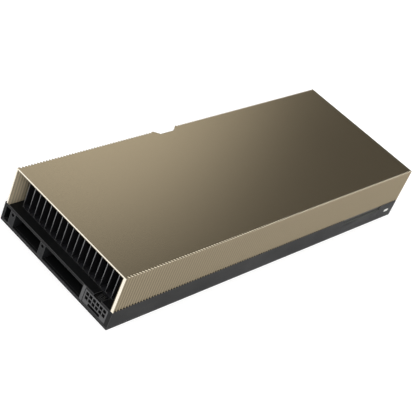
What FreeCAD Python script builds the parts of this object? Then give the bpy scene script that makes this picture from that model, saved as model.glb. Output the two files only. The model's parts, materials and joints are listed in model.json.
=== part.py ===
import FreeCAD, Part
import math
import os

# Passive accelerator card for servers: a ribbed sheet-gold shroud over a long fin
# stack, on a black base frame that holds the circuit board and its power header.
# Millimetres. While it is built, X runs from the rear (power) end to the bracket
# end, Y from the link side to the slot side, and Z up from the underside. The
# finished pieces are moved so that the origin is the middle of the underside.

# ---- driving sizes of the whole card ----
LENGTH = 267.7            # rear end to bracket end
HEIGHT = 39.04            # underside to roof, two expansion slots
FRAME_WIDTH = 98.9        # base frame, link side to slot side
SHROUD_SET_IN = 1.1       # frame's slot side to the shroud's rib tips there
TAB_REACH = 12.25         # frame's slot side to the tips of the slot contacts
FRAME_TOP = 13.2          # underside of the card to the top of the base frame
FIT = 0.2                 # general clearance between pieces that drop together
SCREW_FIT = 0.02          # radial clearance of a screw in the hole that it bites in
PASS_FIT = 0.2            # radial clearance of a screw in a hole that it passes

# ---- shroud ----
SHROUD_WALL = 2.1         # rib tip to inside face
RIB_PITCH = 2.18
RIB_DEPTH = 1.2
RIB_END_FLAT = 0.5        # least flat left beside a row of ribs
ROOF = 1.2
NOTCH_FROM_BRACKET = 140.7   # bracket end to the near corner of the notch
NOTCH_MOUTH = 19.7        # its width at the outer edge
NOTCH_DEPTH = 3.6
NOTCH_WALL = 2.0          # wall that follows the notch
LUG_LENGTH = 7.0          # screw lugs inside the shroud
LUG_HALF = 2.1            # middle of the screw to the lug's free face
LUG_HEIGHT = 8.0
SHROUD_SCREW_R = 0.95
SHROUD_SCREW_HEAD_R = 1.6
SHROUD_SCREW_HEAD = 1.2
SHROUD_SCREW_REACH = 6.0  # thread inside the lug
SHROUD_SCREWS_FROM_BRACKET = (24.0, 122.0)
SHROUD_SCREW_FROM_REAR = 24.0

# ---- base frame ----
FRAME_WALL = 2.0
FRAME_SILL = 0.7          # bar under the windows
WINDOW_HEIGHT = 9.6
DECK = 2.0                # deck beside the heatsink
LEDGE = 1.4               # ledge that carries the heatsink's flange
LEDGE_WIDTH = 3.7
SIDE_DECK_LINK = 8.3      # link side to the pocket for the heatsink
SIDE_DECK_SLOT = 7.0      # slot side to the same pocket
END_DECK = 6.8            # each end to the same pocket
END_RIB = 1.6             # rib under the end deck
CHANNEL = 3.6             # channel under the deck for the shroud's screw heads
POST_WIDTH = 4.5
POST_DEPTH = 7.0
EXTENDER_MID_Y = 62.0     # link side to the middle threaded post
EXTENDER_FAR_INSET = 8.5  # slot side to the far threaded post
EXTENDER_R = 1.25
EXTENDER_DEPTH = 6.0
EXTENDER_Z = 9.4
BRACKET_INSET = 14.0      # link side, and slot side, to the bracket's threaded posts
HEADER_POST = 2.2         # post beside the power header
BOSS = 5.2                # width of the lands that the backplate's screws hold together
BOSS_LINK_Y = 5.0
BOSS_SLOT_INSET = 5.9

# ---- backplate, film and their screws ----
BACKPLATE = 1.2
BACK_GAP = 1.47           # backplate to the board's underside
FILM = 0.15
FILM_INSET = 8.6
PLATE_SCREW_R = 1.2
PLATE_SCREW_HEAD_R = 2.3
PLATE_SCREW_BITE = 4.5
HEX_R = 0.75
HEX_DEPTH = 0.7
PLATE_SCREWS_FROM_BRACKET = (9.7, 87.7, 167.7)
PLATE_SCREW_FROM_REAR = 30.0
PLATE_SCREW_SPACING = 80.0   # greatest distance between screws towards the rear
PLATE_WINDOW_CLEAR = 1.0  # spring plate's ends to the backplate's window

# ---- circuit board ----
BOARD = 1.57
BOARD_FROM_REAR = 9.0
TAB_LENGTH = 8.25         # slot contact tab, root to tip
SLOT_BODY_START = 12.0    # bracket end to the part of the board beyond the frame
SLOT_BODY_END = 138.5
TAB_START = 44.55         # bracket end to the first slot contact's edge
TAB_KEY = 56.2            # bracket end to the key's near wall
KEY_WIDTH = 1.9
TAB_END = 129.45
TAB_BEVEL = 1.3
TAB_BEVEL_RISE = 0.45
HOOK_GAP = 2.9
HOOK_NECK = 2.6
HOOK_FOOT = 2.0
HOOK_REACH = 6.6
HOOK_FOOT_DEPTH = 2.3
CONTACT_PITCH = 1.0
CONTACT_WIDTH = 0.7
CONTACT_LENGTH = 4.2
CONTACT_THICKNESS = 0.05
LINK_TAB_WIDTH = 35.6
LINK_CONTACT_LENGTH = 3.2

# ---- link connector cover ----
LINK_FROM_BRACKET = 38.3  # bracket end to the middle of the cover
LINK_COVER_WIDTH = 41.0
LINK_COVER_TOP = 9.7
LINK_COVER_DEPTH = 5.8
LINK_COVER_FACE = 0.9     # wall in front of the tab
LINK_POCKET_DEPTH = 1.4   # step in the frame above the cover
LINK_FIT = 0.16

# ---- power header ----
HEADER_Y = 3.3            # link side to the housing
HEADER_SIDE_WALL = 0.75   # housing's side to the first column's share of the pitch
HEADER_BOTTOM = 1.9
HEADER_FRONT = 0.3
HEADER_LENGTH = 13.0
HEADER_BOARD_GAP = 0.8    # housing to the edge of the board behind it
HEADER_COLUMNS = 6
HEADER_ROWS = 2
CELL_PITCH = 3.0
CELL = 2.4
CELL_DEPTH = 9.2
CELL_ROW_FROM_TOP = 2.2   # housing top to the middle of the upper row
PIN = 0.8
PIN_SETBACK = 2.2
PIN_FIT = 0.02
PIN_HEADROOM = 0.1        # least room over the upper row of pins behind the housing
PIN_ROW_STEP = 2.5
PIN_FIRST_ROW = 3.2       # housing's back to the first row of board holes
PIN_BELOW_BOARD = 0.6
SENSE_COUNT = 4
SENSE_PITCH = 2.0
SENSE_PIN = 0.4
SENSE_SLOT_WIDTH = 10.2
SENSE_SLOT_HEIGHT = 2.1
SENSE_SLOT_DEPTH = 6.7
SENSE_SLOT_UP = 0.3       # housing's underside to the slot
SENSE_SLOT_ROOF = 0.6     # wall between the slot and the lower row of cells
SENSE_FOOT = 1.6
LATCH_WIDTH = 1.3
LATCH_GAP = 0.7
LATCH_HEIGHT = 1.5
LATCH_LENGTH = 4.6
LATCH_SETBACK = 1.2       # housing's face to the foot of the ramp
LATCH_CREST = 1.2         # flat top behind the ramp
LATCH_OPENING = 6.4

# ---- heatsink ----
BASE_PLATE = 1.6          # part of the base below its flange
FIN_RECESS = 7.0          # each end of the card to the fins
FIN_FIRST_Y = 9.8
FIN_PITCH = 5.09
FIN = 0.5
FIN_FOOT = 1.6
FIN_FAR_CLEAR = 4.0       # last fin to the shroud's inside face
FIN_TOP_CLEAR = 0.3
LEG_OFFSET = 34.0         # middle of the processor to each mounting leg, X and Y
LEG_R = 3.2
HEATSINK_SCREW_R = 1.4
HEATSINK_SCREW_HEAD_R = 2.75
HEATSINK_SCREW_HEAD = 0.9
HEATSINK_SCREW_REACH = 4.6
LEAF = 1.2                # leaf spring under the board
LEAF_ARM = 8.0
LEAF_HUB = 28.0
LEAF_END_R = 4.0

# ---- processor package ----
GPU_FROM_BRACKET = 107.7
GPU_Y = 49.5
SUBSTRATE = 58.0
SUBSTRATE_THICKNESS = 1.9
DIE_X = 26.0
DIE_Y = 32.0
DIE_THICKNESS = 0.8
STACK_X = 11.0
STACK_Y = 10.0
STACK_GAP = 0.6
STACK_ROWS = 3
RING_WIDTH = 3.0
RING_THICKNESS = 0.75
PASTE = 0.1
PASTE_MARGIN = 0.4
PEDESTAL_MARGIN = 1.0

# ---- voltage regulators and other board parts ----
CHOKE_OFFSET = 46.0       # middle of the processor to each column of chokes
CHOKE_X = 8.2
CHOKE_Y = 7.6
CHOKE_HEIGHT = 4.7
CHOKE_PITCH = 9.2
CHOKE_EDGE = 14.0         # each side of the frame to the first choke's edge
STAGE_OFFSET = 53.2
STAGE_X = 5.0
STAGE_Y = 6.0
STAGE_HEIGHT = 0.8
CAPACITOR_X = 7.3
CAPACITOR_Y = 4.3
CAPACITOR_HEIGHT = 2.8
CAPACITOR_PITCH = 14.0
CAPACITORS_START = 38.0   # rear end to the first column of capacitors
CAPACITORS_CLEAR = 12.0   # last column to the power stages
CHIP_SIZES = ((7.0, 7.0, 1.0), (9.0, 9.0, 1.2), (5.0, 6.0, 1.5))
CHIP_FROM_BRACKET = 22.0
CHIP_FIRST_Y = 24.0
CHIP_PITCH_Y = 18.0

# ---- heights and places that follow ----
SHROUD_WIDTH = FRAME_WIDTH - SHROUD_SET_IN
SLOT_TIP = FRAME_WIDTH + TAB_REACH
BOARD_UNDER = BACKPLATE + BACK_GAP
BOARD_TOP = BOARD_UNDER + BOARD
WINDOW_BOTTOM = BACKPLATE + FRAME_SILL
WINDOW_TOP = WINDOW_BOTTOM + WINDOW_HEIGHT
DECK_UNDER = FRAME_TOP - DECK
LEDGE_UNDER = DECK_UNDER - LEDGE
BASE_UNDER = DECK_UNDER - BASE_PLATE
FRAME_INNER_Y = FRAME_WIDTH - FRAME_WALL
POCKET_Y1 = FRAME_WIDTH - SIDE_DECK_SLOT
NOTCH_X1 = LENGTH - NOTCH_FROM_BRACKET
NOTCH_X0 = NOTCH_X1 - NOTCH_MOUTH
SLOT_ROOT = SLOT_TIP - TAB_LENGTH
LINK_X = LENGTH - LINK_FROM_BRACKET
GPU_X = LENGTH - GPU_FROM_BRACKET
GPU_TOP = BOARD_TOP + SUBSTRATE_THICKNESS + DIE_THICKNESS
HEADER_WIDTH = HEADER_COLUMNS * CELL_PITCH + 2 * HEADER_SIDE_WALL
HEADER_MID_Y = HEADER_Y + HEADER_WIDTH / 2
SENSE_SLOT_TOP = HEADER_BOTTOM + SENSE_SLOT_UP + SENSE_SLOT_HEIGHT
LOWER_ROW_Z = SENSE_SLOT_TOP + SENSE_SLOT_ROOF + CELL / 2
HEADER_TOP = LOWER_ROW_Z + (HEADER_ROWS - 1) * CELL_PITCH + CELL_ROW_FROM_TOP
HEADER_BACK = HEADER_FRONT + HEADER_LENGTH
SHROUD_SCREW_LINK_Y = FRAME_WALL + FIT + SHROUD_SCREW_HEAD_R
SHROUD_SCREW_SLOT_Y = FRAME_INNER_Y - FIT - SHROUD_SCREW_HEAD_R
BOSS_SLOT_Y = FRAME_WIDTH - BOSS_SLOT_INSET
LEG_REACH = LEG_OFFSET * math.sqrt(2)
PLATE_WINDOW_R = LEAF_END_R + PLATE_WINDOW_CLEAR
PLATE_WINDOW = 2 * (LEG_OFFSET + PLATE_WINDOW_R)
OVER = 1.0                # how far a cutting solid runs past what it cuts


# ---- small builders ----
def box(x0, x1, y0, y1, z0, z1):
    """Block between two corners."""
    return Part.makeBox(x1 - x0, y1 - y0, z1 - z0, FreeCAD.Vector(x0, y0, z0))


def block_at(x, y, z0, size_x, size_y, size_z):
    """Block that stands on z0 with its plan centred on x, y."""
    return box(x - size_x / 2, x + size_x / 2, y - size_y / 2, y + size_y / 2, z0, z0 + size_z)


def upright(x, y, z0, z1, radius):
    """Upright cylinder."""
    return Part.makeCylinder(radius, z1 - z0, FreeCAD.Vector(x, y, z0))


def along_x(x0, x1, y, z, radius):
    """Cylinder along the card's length."""
    return Part.makeCylinder(radius, x1 - x0, FreeCAD.Vector(x0, y, z), FreeCAD.Vector(1, 0, 0))


def plan_prism(outline, z0, z1):
    """Outline of (x, y) points raised from z0 to z1."""
    points = [FreeCAD.Vector(x, y, z0) for x, y in outline]
    face = Part.Face(Part.makePolygon(points + points[:1]))
    return face.extrude(FreeCAD.Vector(0, 0, z1 - z0))


def side_prism(outline, y0, y1):
    """Outline of (x, z) points carried across the card from y0 to y1."""
    points = [FreeCAD.Vector(x, y0, z) for x, z in outline]
    face = Part.Face(Part.makePolygon(points + points[:1]))
    return face.extrude(FreeCAD.Vector(0, y1 - y0, 0))


def end_prism(outline, x0, x1):
    """Outline of (y, z) points carried along the card from x0 to x1."""
    points = [FreeCAD.Vector(x0, y, z) for y, z in outline]
    face = Part.Face(Part.makePolygon(points + points[:1]))
    return face.extrude(FreeCAD.Vector(x1 - x0, 0, 0))


def rounded_block(x, y, z0, z1, size, radius):
    """Square block with round upright edges."""
    block = block_at(x, y, z0, size, size, z1 - z0)
    upright_edges = [edge for edge in block.Edges if abs(edge.tangentAt(edge.FirstParameter).z) > 0.5]
    return block.makeFillet(radius, upright_edges)


def fuse_all(shapes):
    """One shape from several that meet."""
    return shapes[0].multiFuse(shapes[1:]).removeSplitter()


def cut_all(shape, tools):
    """Shape with each of the tools taken away."""
    return shape.cut(tools).removeSplitter()


# ---- outlines and places that several pieces share ----
def notch_path(line_y, inset):
    """Latch notch in an edge at line_y, moved into the material by inset; from high X to low X."""
    shift = inset * math.sqrt(2)
    floor_y = SHROUD_WIDTH - NOTCH_DEPTH - inset
    high = NOTCH_X1 + shift - (SHROUD_WIDTH - line_y)
    low = NOTCH_X0 - shift + (SHROUD_WIDTH - line_y)
    high_floor = NOTCH_X1 + shift - (SHROUD_WIDTH - floor_y)
    low_floor = NOTCH_X0 - shift + (SHROUD_WIDTH - floor_y)
    return [(high, line_y), (high_floor, floor_y), (low_floor, floor_y), (low, line_y)]


def notched_outline(x0, x1, y0, y1, inset):
    """Rectangle whose slot-side edge has the latch notch."""
    return [(x0, y0), (x1, y0), (x1, y1)] + notch_path(y1, inset) + [(x0, y1)]


def ribbed_edge(x0, x1, tip_y, inward):
    """Points of a row of V ribs from x0 to x1; inward is +1 or -1, the way their valleys go."""
    run = abs(x1 - x0)
    way = 1 if x1 > x0 else -1
    count = int((run - 2 * RIB_END_FLAT) / RIB_PITCH)
    start = x0 + way * (run - count * RIB_PITCH) / 2
    points = [(x0, tip_y), (start, tip_y)]
    for rib in range(count):
        valley_x = start + way * (rib + 0.5) * RIB_PITCH
        points.append((valley_x, tip_y + inward * RIB_DEPTH))
        points.append((start + way * (rib + 1) * RIB_PITCH, tip_y))
    points.append((x1, tip_y))
    return points


def plate_screw_places():
    """Middles of the screws that hold backplate, board and frame together."""
    fixed = [LENGTH - distance for distance in PLATE_SCREWS_FROM_BRACKET]
    span = fixed[-1] - PLATE_SCREW_FROM_REAR
    steps = math.ceil(span / PLATE_SCREW_SPACING)
    stations = fixed + [fixed[-1] - span * step / steps for step in range(1, steps + 1)]
    return [(x, y) for x in stations for y in (BOSS_LINK_Y, BOSS_SLOT_Y)]


def shroud_screw_places():
    """Middles of the screws that hold the shroud to the frame."""
    stations = [LENGTH - distance for distance in SHROUD_SCREWS_FROM_BRACKET]
    stations.append(SHROUD_SCREW_FROM_REAR)
    return [(x, y) for x in stations for y in (SHROUD_SCREW_LINK_Y, SHROUD_SCREW_SLOT_Y)]


def rear_post_rows():
    """Y of the middle of each threaded post at the rear end."""
    return (EXTENDER_MID_Y, FRAME_WIDTH - EXTENDER_FAR_INSET)


def bracket_post_rows():
    """Y of the middle of each threaded post at the bracket end."""
    return (BRACKET_INSET, FRAME_WIDTH - BRACKET_INSET)


def leg_places():
    """Middles of the four legs round the processor."""
    return [(GPU_X + sx * LEG_OFFSET, GPU_Y + sy * LEG_OFFSET) for sx in (-1, 1) for sy in (-1, 1)]


def header_columns():
    """Y of each column of power pins."""
    middle = (HEADER_COLUMNS - 1) / 2
    return [HEADER_MID_Y + (column - middle) * CELL_PITCH for column in range(HEADER_COLUMNS)]


def header_rows():
    """Z of each row of power pins, from the top one down."""
    return [LOWER_ROW_Z + row * CELL_PITCH for row in reversed(range(HEADER_ROWS))]


def header_tail_x(row):
    """X at which the pins of a row turn down; the upper row reaches furthest."""
    return HEADER_BACK + PIN_FIRST_ROW + (HEADER_ROWS - 1 - row) * PIN_ROW_STEP


def pin_space():
    """Room that frame and heatsink leave for the pins behind the power header."""
    columns = header_columns()
    aside = PIN / 2 + PIN_HEADROOM
    x1 = header_tail_x(0) + aside
    top = header_rows()[0] + aside
    return box(HEADER_BACK, x1, columns[0] - aside, columns[-1] + aside, BOARD_TOP, top)


def sense_columns():
    """Y of each small sense contact."""
    middle = (SENSE_COUNT - 1) / 2
    return [HEADER_MID_Y + (pin - middle) * SENSE_PITCH for pin in range(SENSE_COUNT)]


def fin_places():
    """Y of the link-side face of each fin."""
    last = SHROUD_WIDTH - SHROUD_WALL - FIN_FAR_CLEAR - FIN / 2
    count = int((last - FIN_FIRST_Y) / FIN_PITCH) + 1
    return [FIN_FIRST_Y + number * FIN_PITCH - FIN / 2 for number in range(count)]


# ---- shroud ----
def make_shroud():
    """Channel with V ribs down both long sides, a latch notch and inside screw lugs."""
    slot_notch = notch_path(SHROUD_WIDTH, 0)
    outline = ribbed_edge(0, LENGTH, 0, 1)
    outline += ribbed_edge(LENGTH, slot_notch[0][0], SHROUD_WIDTH, -1)
    outline += slot_notch[1:3]
    outline += ribbed_edge(slot_notch[3][0], 0, SHROUD_WIDTH, -1)
    shell = plan_prism(outline, FRAME_TOP, HEIGHT)
    inside = notched_outline(-OVER, LENGTH + OVER, SHROUD_WALL, SHROUD_WIDTH - SHROUD_WALL, NOTCH_WALL)
    shell = shell.cut(plan_prism(inside, FRAME_TOP - OVER, HEIGHT - ROOF))
    lugs = []
    holes = []
    for x, y in shroud_screw_places():
        if y < SHROUD_WIDTH / 2:
            y0, y1 = SHROUD_WALL, y + LUG_HALF
        else:
            y0, y1 = y - LUG_HALF, SHROUD_WIDTH - SHROUD_WALL
        lugs.append(box(x - LUG_LENGTH / 2, x + LUG_LENGTH / 2, y0, y1, FRAME_TOP, FRAME_TOP + LUG_HEIGHT))
        hole_top = FRAME_TOP + SHROUD_SCREW_REACH + FIT
        holes.append(upright(x, y, FRAME_TOP - OVER, hole_top, SHROUD_SCREW_R + SCREW_FIT))
    return cut_all(fuse_all([shell] + lugs), holes)


def make_shroud_screws():
    """Pan-head screws from under the deck up into the shroud's lugs."""
    screws = []
    for x, y in shroud_screw_places():
        head = upright(x, y, DECK_UNDER - SHROUD_SCREW_HEAD, DECK_UNDER, SHROUD_SCREW_HEAD_R)
        shank = upright(x, y, DECK_UNDER, FRAME_TOP + SHROUD_SCREW_REACH, SHROUD_SCREW_R)
        screws.append(head.fuse(shank))
    return screws


# ---- base frame ----
def rear_post_blocks():
    """Space of each rear post: from the sill up to the deck."""
    half = POST_WIDTH / 2
    return [box(0, POST_DEPTH, y - half, y + half, WINDOW_BOTTOM, DECK_UNDER) for y in rear_post_rows()]


def bracket_post_blocks():
    """Space of each bracket-end post: from the board up to the deck."""
    half = POST_WIDTH / 2
    x0 = LENGTH - POST_DEPTH
    return [box(x0, LENGTH, y - half, y + half, BOARD_TOP, DECK_UNDER) for y in bracket_post_rows()]


def boss_at(x, y):
    """Land that runs from a side wall of the frame to just past a backplate screw."""
    if y < FRAME_WIDTH / 2:
        y0, y1 = FRAME_WALL / 2, y + BOSS / 2
    else:
        y0, y1 = y - BOSS / 2, FRAME_WIDTH - FRAME_WALL / 2
    return box(x - BOSS / 2, x + BOSS / 2, y0, y1, BOARD_TOP, DECK_UNDER)


def make_base_frame():
    """Black frame: walls, decks and ledges round the heatsink, with windowed ends."""
    frame = plan_prism(notched_outline(0, LENGTH, 0, FRAME_WIDTH, 0), BACKPLATE, FRAME_TOP)
    inner_x1 = LENGTH - FRAME_WALL
    cavity = notched_outline(FRAME_WALL, inner_x1, FRAME_WALL, FRAME_INNER_Y, FRAME_WALL)
    end_bay = END_DECK - END_RIB
    pocket_x1 = LENGTH - END_DECK
    ledge_y0 = SIDE_DECK_LINK + LEDGE_WIDTH
    ledge_y1 = POCKET_Y1 - LEDGE_WIDTH
    ledge_x0 = END_DECK + LEDGE_WIDTH
    channel_y1 = FRAME_WALL + CHANNEL
    cuts = [
        plan_prism(cavity, BACKPLATE - OVER, LEDGE_UNDER),
        box(FRAME_WALL, end_bay, FRAME_WALL, FRAME_INNER_Y, BACKPLATE, WINDOW_TOP),
        box(LENGTH - end_bay, inner_x1, FRAME_WALL, FRAME_INNER_Y, BACKPLATE, WINDOW_TOP),
        box(END_DECK, pocket_x1, SIDE_DECK_LINK, POCKET_Y1, DECK_UNDER, FRAME_TOP + OVER),
        box(ledge_x0, LENGTH - ledge_x0, ledge_y0, ledge_y1, BACKPLATE, FRAME_TOP),
        box(ledge_x0, LENGTH - ledge_x0, FRAME_WALL, channel_y1, BACKPLATE, DECK_UNDER),
    ]
    notch = notch_path(FRAME_INNER_Y, FRAME_WALL)
    for x0, x1 in ((ledge_x0, notch[-1][0]), (notch[0][0], LENGTH - ledge_x0)):
        cuts.append(box(x0, x1, FRAME_INNER_Y - CHANNEL, FRAME_INNER_Y, BACKPLATE, DECK_UNDER))
    frame = cut_all(frame, cuts)

    bosses = [boss_at(x, y) for x, y in plate_screw_places()]
    windows = rear_windows() + bracket_windows() + link_opening() + slot_side_opening()
    frame = cut_all(frame, windows + rear_post_blocks() + bracket_post_blocks())
    frame = fuse_all([frame] + bosses)
    return cut_all(frame, frame_holes() + [pin_space()])


def rear_windows():
    """Windows, header bay and latch gap of the rear wall."""
    bay_y0 = HEADER_Y - FIT
    bay_y1 = HEADER_Y + HEADER_WIDTH + FIT
    middle_post, far_post = rear_post_rows()
    half_post = POST_WIDTH / 2
    spans = [
        (bay_y1 + HEADER_POST, middle_post - half_post),
        (middle_post + half_post, far_post - half_post),
        (far_post + half_post, FRAME_INNER_Y),
    ]
    windows = [box(-OVER, FRAME_WALL, y0, y1, WINDOW_BOTTOM, WINDOW_TOP) for y0, y1 in spans]
    header_bay = box(-OVER, HEADER_BACK + FIT, bay_y0, bay_y1, HEADER_BOTTOM, HEADER_TOP + FIT)
    gap_y0 = HEADER_MID_Y - LATCH_OPENING / 2
    gap_y1 = HEADER_MID_Y + LATCH_OPENING / 2
    latch_gap = box(-OVER, END_DECK, gap_y0, gap_y1, HEADER_TOP, FRAME_TOP + OVER)
    return windows + [header_bay, latch_gap]


def bracket_windows():
    """Exhaust windows of the bracket end's wall, between its threaded posts."""
    link_post, slot_post = bracket_post_rows()
    half_post = POST_WIDTH / 2
    spans = [
        (FRAME_WALL, link_post - half_post),
        (link_post + half_post, slot_post - half_post),
        (slot_post + half_post, FRAME_INNER_Y),
    ]
    return [box(LENGTH - FRAME_WALL, LENGTH + OVER, y0, y1, WINDOW_BOTTOM, WINDOW_TOP) for y0, y1 in spans]


def link_opening():
    """Opening for the link cover in the link-side wall, and the step above it."""
    x0 = LINK_X - LINK_COVER_WIDTH / 2 - FIT
    x1 = LINK_X + LINK_COVER_WIDTH / 2 + FIT
    return [
        box(x0, x1, -OVER, LINK_COVER_DEPTH + FIT, WINDOW_BOTTOM, LINK_COVER_TOP),
        box(x0, x1, -OVER, LINK_POCKET_DEPTH, LINK_COVER_TOP - FIT, FRAME_TOP + OVER),
    ]


def slot_side_opening():
    """Gap in the slot-side wall through which the board reaches out."""
    x0 = LENGTH - SLOT_BODY_END - FIT
    x1 = LENGTH - SLOT_BODY_START + FIT
    return [box(x0, x1, FRAME_INNER_Y, FRAME_WIDTH + OVER, BACKPLATE - OVER, BOARD_TOP)]


def frame_holes():
    """Holes of the frame: threaded ones for the backplate and plain ones for the shroud's screws."""
    holes = []
    for x, y in plate_screw_places():
        hole_top = BOARD_TOP + PLATE_SCREW_BITE + FIT
        holes.append(upright(x, y, BOARD_TOP - OVER, hole_top, PLATE_SCREW_R + SCREW_FIT))
    for x, y in shroud_screw_places():
        holes.append(upright(x, y, DECK_UNDER - OVER, FRAME_TOP + OVER, SHROUD_SCREW_R + PASS_FIT))
    return holes


def make_rear_posts():
    """Threaded posts of the rear end, which take a card extender."""
    bores = [along_x(-OVER, EXTENDER_DEPTH, y, EXTENDER_Z, EXTENDER_R) for y in rear_post_rows()]
    return [block.cut(bore) for block, bore in zip(rear_post_blocks(), bores)]


def make_bracket_posts():
    """Threaded posts of the bracket end, which take the card bracket."""
    x0 = LENGTH - EXTENDER_DEPTH
    bores = [along_x(x0, LENGTH + OVER, y, EXTENDER_Z, EXTENDER_R) for y in bracket_post_rows()]
    return [block.cut(bore) for block, bore in zip(bracket_post_blocks(), bores)]


# ---- backplate and what lies on it ----
def countersink(x, y, clearance):
    """Cone of a flat screw head whose top face is the card's underside."""
    rise = PLATE_SCREW_HEAD_R - PLATE_SCREW_R
    base = FreeCAD.Vector(x, y, 0)
    return Part.makeCone(PLATE_SCREW_HEAD_R + clearance, PLATE_SCREW_R + clearance, rise, base)


def make_backplate():
    """Flat plate with the processor's window, countersunk holes and spacers."""
    plate = plan_prism(notched_outline(0, LENGTH, 0, FRAME_WIDTH, 0), 0, BACKPLATE)
    spacers = [block_at(x, y, BACKPLATE, BOSS, BOSS, BACK_GAP) for x, y in plate_screw_places()]
    plate = fuse_all([plate] + spacers)
    cuts = [rounded_block(GPU_X, GPU_Y, -OVER, BACKPLATE + OVER, PLATE_WINDOW, PLATE_WINDOW_R)]
    for x, y in plate_screw_places():
        cuts.append(countersink(x, y, SCREW_FIT))
        cuts.append(upright(x, y, -OVER, BOARD_UNDER + OVER, PLATE_SCREW_R + PASS_FIT))
    return cut_all(plate, cuts)


def make_backplate_screws():
    """Countersunk screws through backplate and board into the frame's bosses."""
    screws = []
    for x, y in plate_screw_places():
        shank = upright(x, y, 0, BOARD_TOP + PLATE_SCREW_BITE, PLATE_SCREW_R)
        screw = shank.fuse(countersink(x, y, 0))
        corners = [math.radians(60 * corner) for corner in range(6)]
        outline = [(x + HEX_R * math.cos(turn), y + HEX_R * math.sin(turn)) for turn in corners]
        screws.append(screw.cut(plan_prism(outline, -OVER, HEX_DEPTH)))
    return screws


def make_insulating_film():
    """Thin film on the backplate, open round the processor."""
    x0 = max(FILM_INSET, HEADER_BACK + PIN_FIRST_ROW + HEADER_ROWS * PIN_ROW_STEP)
    film = box(x0, LENGTH - FILM_INSET, FILM_INSET, FRAME_WIDTH - FILM_INSET, BACKPLATE, BACKPLATE + FILM)
    return film.cut(rounded_block(GPU_X, GPU_Y, 0, BOARD_UNDER, PLATE_WINDOW, PLATE_WINDOW_R))


def make_leaf_spring():
    """Cross-shaped spring plate that pulls the heatsink down from under the board."""
    arms = []
    for turn in (45, -45):
        arm = box(-LEG_REACH, LEG_REACH, -LEAF_ARM / 2, LEAF_ARM / 2, 0, LEAF)
        arm.rotate(FreeCAD.Vector(0, 0, 0), FreeCAD.Vector(0, 0, 1), turn)
        arm.translate(FreeCAD.Vector(GPU_X, GPU_Y, BACKPLATE))
        arms.append(arm)
    hub = block_at(GPU_X, GPU_Y, BACKPLATE, LEAF_HUB, LEAF_HUB, LEAF)
    ends = [upright(x, y, BACKPLATE, BOARD_UNDER, LEAF_END_R) for x, y in leg_places()]
    holes = [upright(x, y, 0, BOARD_TOP, HEATSINK_SCREW_R + PASS_FIT) for x, y in leg_places()]
    return cut_all(fuse_all([hub] + arms + ends), holes)


def make_leaf_pad():
    """Rubber pad between the spring plate's hub and the board."""
    z0 = BACKPLATE + LEAF
    return block_at(GPU_X, GPU_Y, z0, LEAF_HUB, LEAF_HUB, BOARD_UNDER - z0)


def make_heatsink_screws():
    """Pan-head screws through spring plate and board into the heatsink's legs."""
    screws = []
    for x, y in leg_places():
        head = upright(x, y, BACKPLATE - HEATSINK_SCREW_HEAD, BACKPLATE, HEATSINK_SCREW_HEAD_R)
        shank = upright(x, y, BACKPLATE, BOARD_TOP + HEATSINK_SCREW_REACH, HEATSINK_SCREW_R)
        screws.append(head.fuse(shank))
    return screws


# ---- circuit board ----
def slot_tab(x0, x1):
    """Stretch of the slot contact tab, bevelled at its tip."""
    outline = [
        (SLOT_ROOT - OVER, BOARD_UNDER),
        (SLOT_TIP - TAB_BEVEL, BOARD_UNDER),
        (SLOT_TIP, BOARD_UNDER + TAB_BEVEL_RISE),
        (SLOT_TIP, BOARD_TOP - TAB_BEVEL_RISE),
        (SLOT_TIP - TAB_BEVEL, BOARD_TOP),
        (SLOT_ROOT - OVER, BOARD_TOP),
    ]
    return end_prism(outline, x0, x1)


def make_circuit_board():
    """Board with slot tab, key, latch hook, link tab, header cut-out and all its holes."""
    edge = FRAME_WALL + FIT
    board_x1 = LENGTH - edge
    outline = notched_outline(BOARD_FROM_REAR, board_x1, edge, FRAME_WIDTH - edge, edge)
    body = plan_prism(outline, BOARD_UNDER, BOARD_TOP)
    slot_x0 = LENGTH - SLOT_BODY_END
    slot_x1 = LENGTH - SLOT_BODY_START
    hook_x1 = LENGTH - TAB_END - HOOK_GAP
    hook_y1 = SLOT_ROOT + HOOK_REACH
    parts = [
        body,
        box(slot_x0, slot_x1, FRAME_WIDTH - edge - OVER, SLOT_ROOT, BOARD_UNDER, BOARD_TOP),
        slot_tab(LENGTH - TAB_KEY, LENGTH - TAB_START),
        slot_tab(LENGTH - TAB_END, LENGTH - TAB_KEY - KEY_WIDTH),
        box(hook_x1 - HOOK_NECK, hook_x1, SLOT_ROOT - OVER, hook_y1, BOARD_UNDER, BOARD_TOP),
        box(
            hook_x1 - HOOK_NECK, hook_x1 + HOOK_FOOT,
            hook_y1 - HOOK_FOOT_DEPTH, hook_y1, BOARD_UNDER, BOARD_TOP),
    ]
    board = cut_all(fuse_all(parts), [header_cutout()] + link_cutouts())
    return cut_all(board, board_holes())


def header_cutout():
    """Corner of the board that makes room for the power header."""
    return box(
        BOARD_FROM_REAR - OVER, HEADER_BACK + HEADER_BOARD_GAP,
        0, HEADER_Y + HEADER_WIDTH + FIT, BOARD_UNDER - OVER, BOARD_TOP + OVER)


def link_cutouts():
    """Space round the link tab for the cover's walls."""
    low = BOARD_UNDER - OVER
    high = BOARD_TOP + OVER
    half_tab = LINK_TAB_WIDTH / 2
    half_cover = LINK_COVER_WIDTH / 2 + FIT
    depth = LINK_COVER_DEPTH + FIT
    return [
        box(LINK_X - half_cover, LINK_X - half_tab, 0, depth, low, high),
        box(LINK_X + half_tab, LINK_X + half_cover, 0, depth, low, high),
    ]


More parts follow.
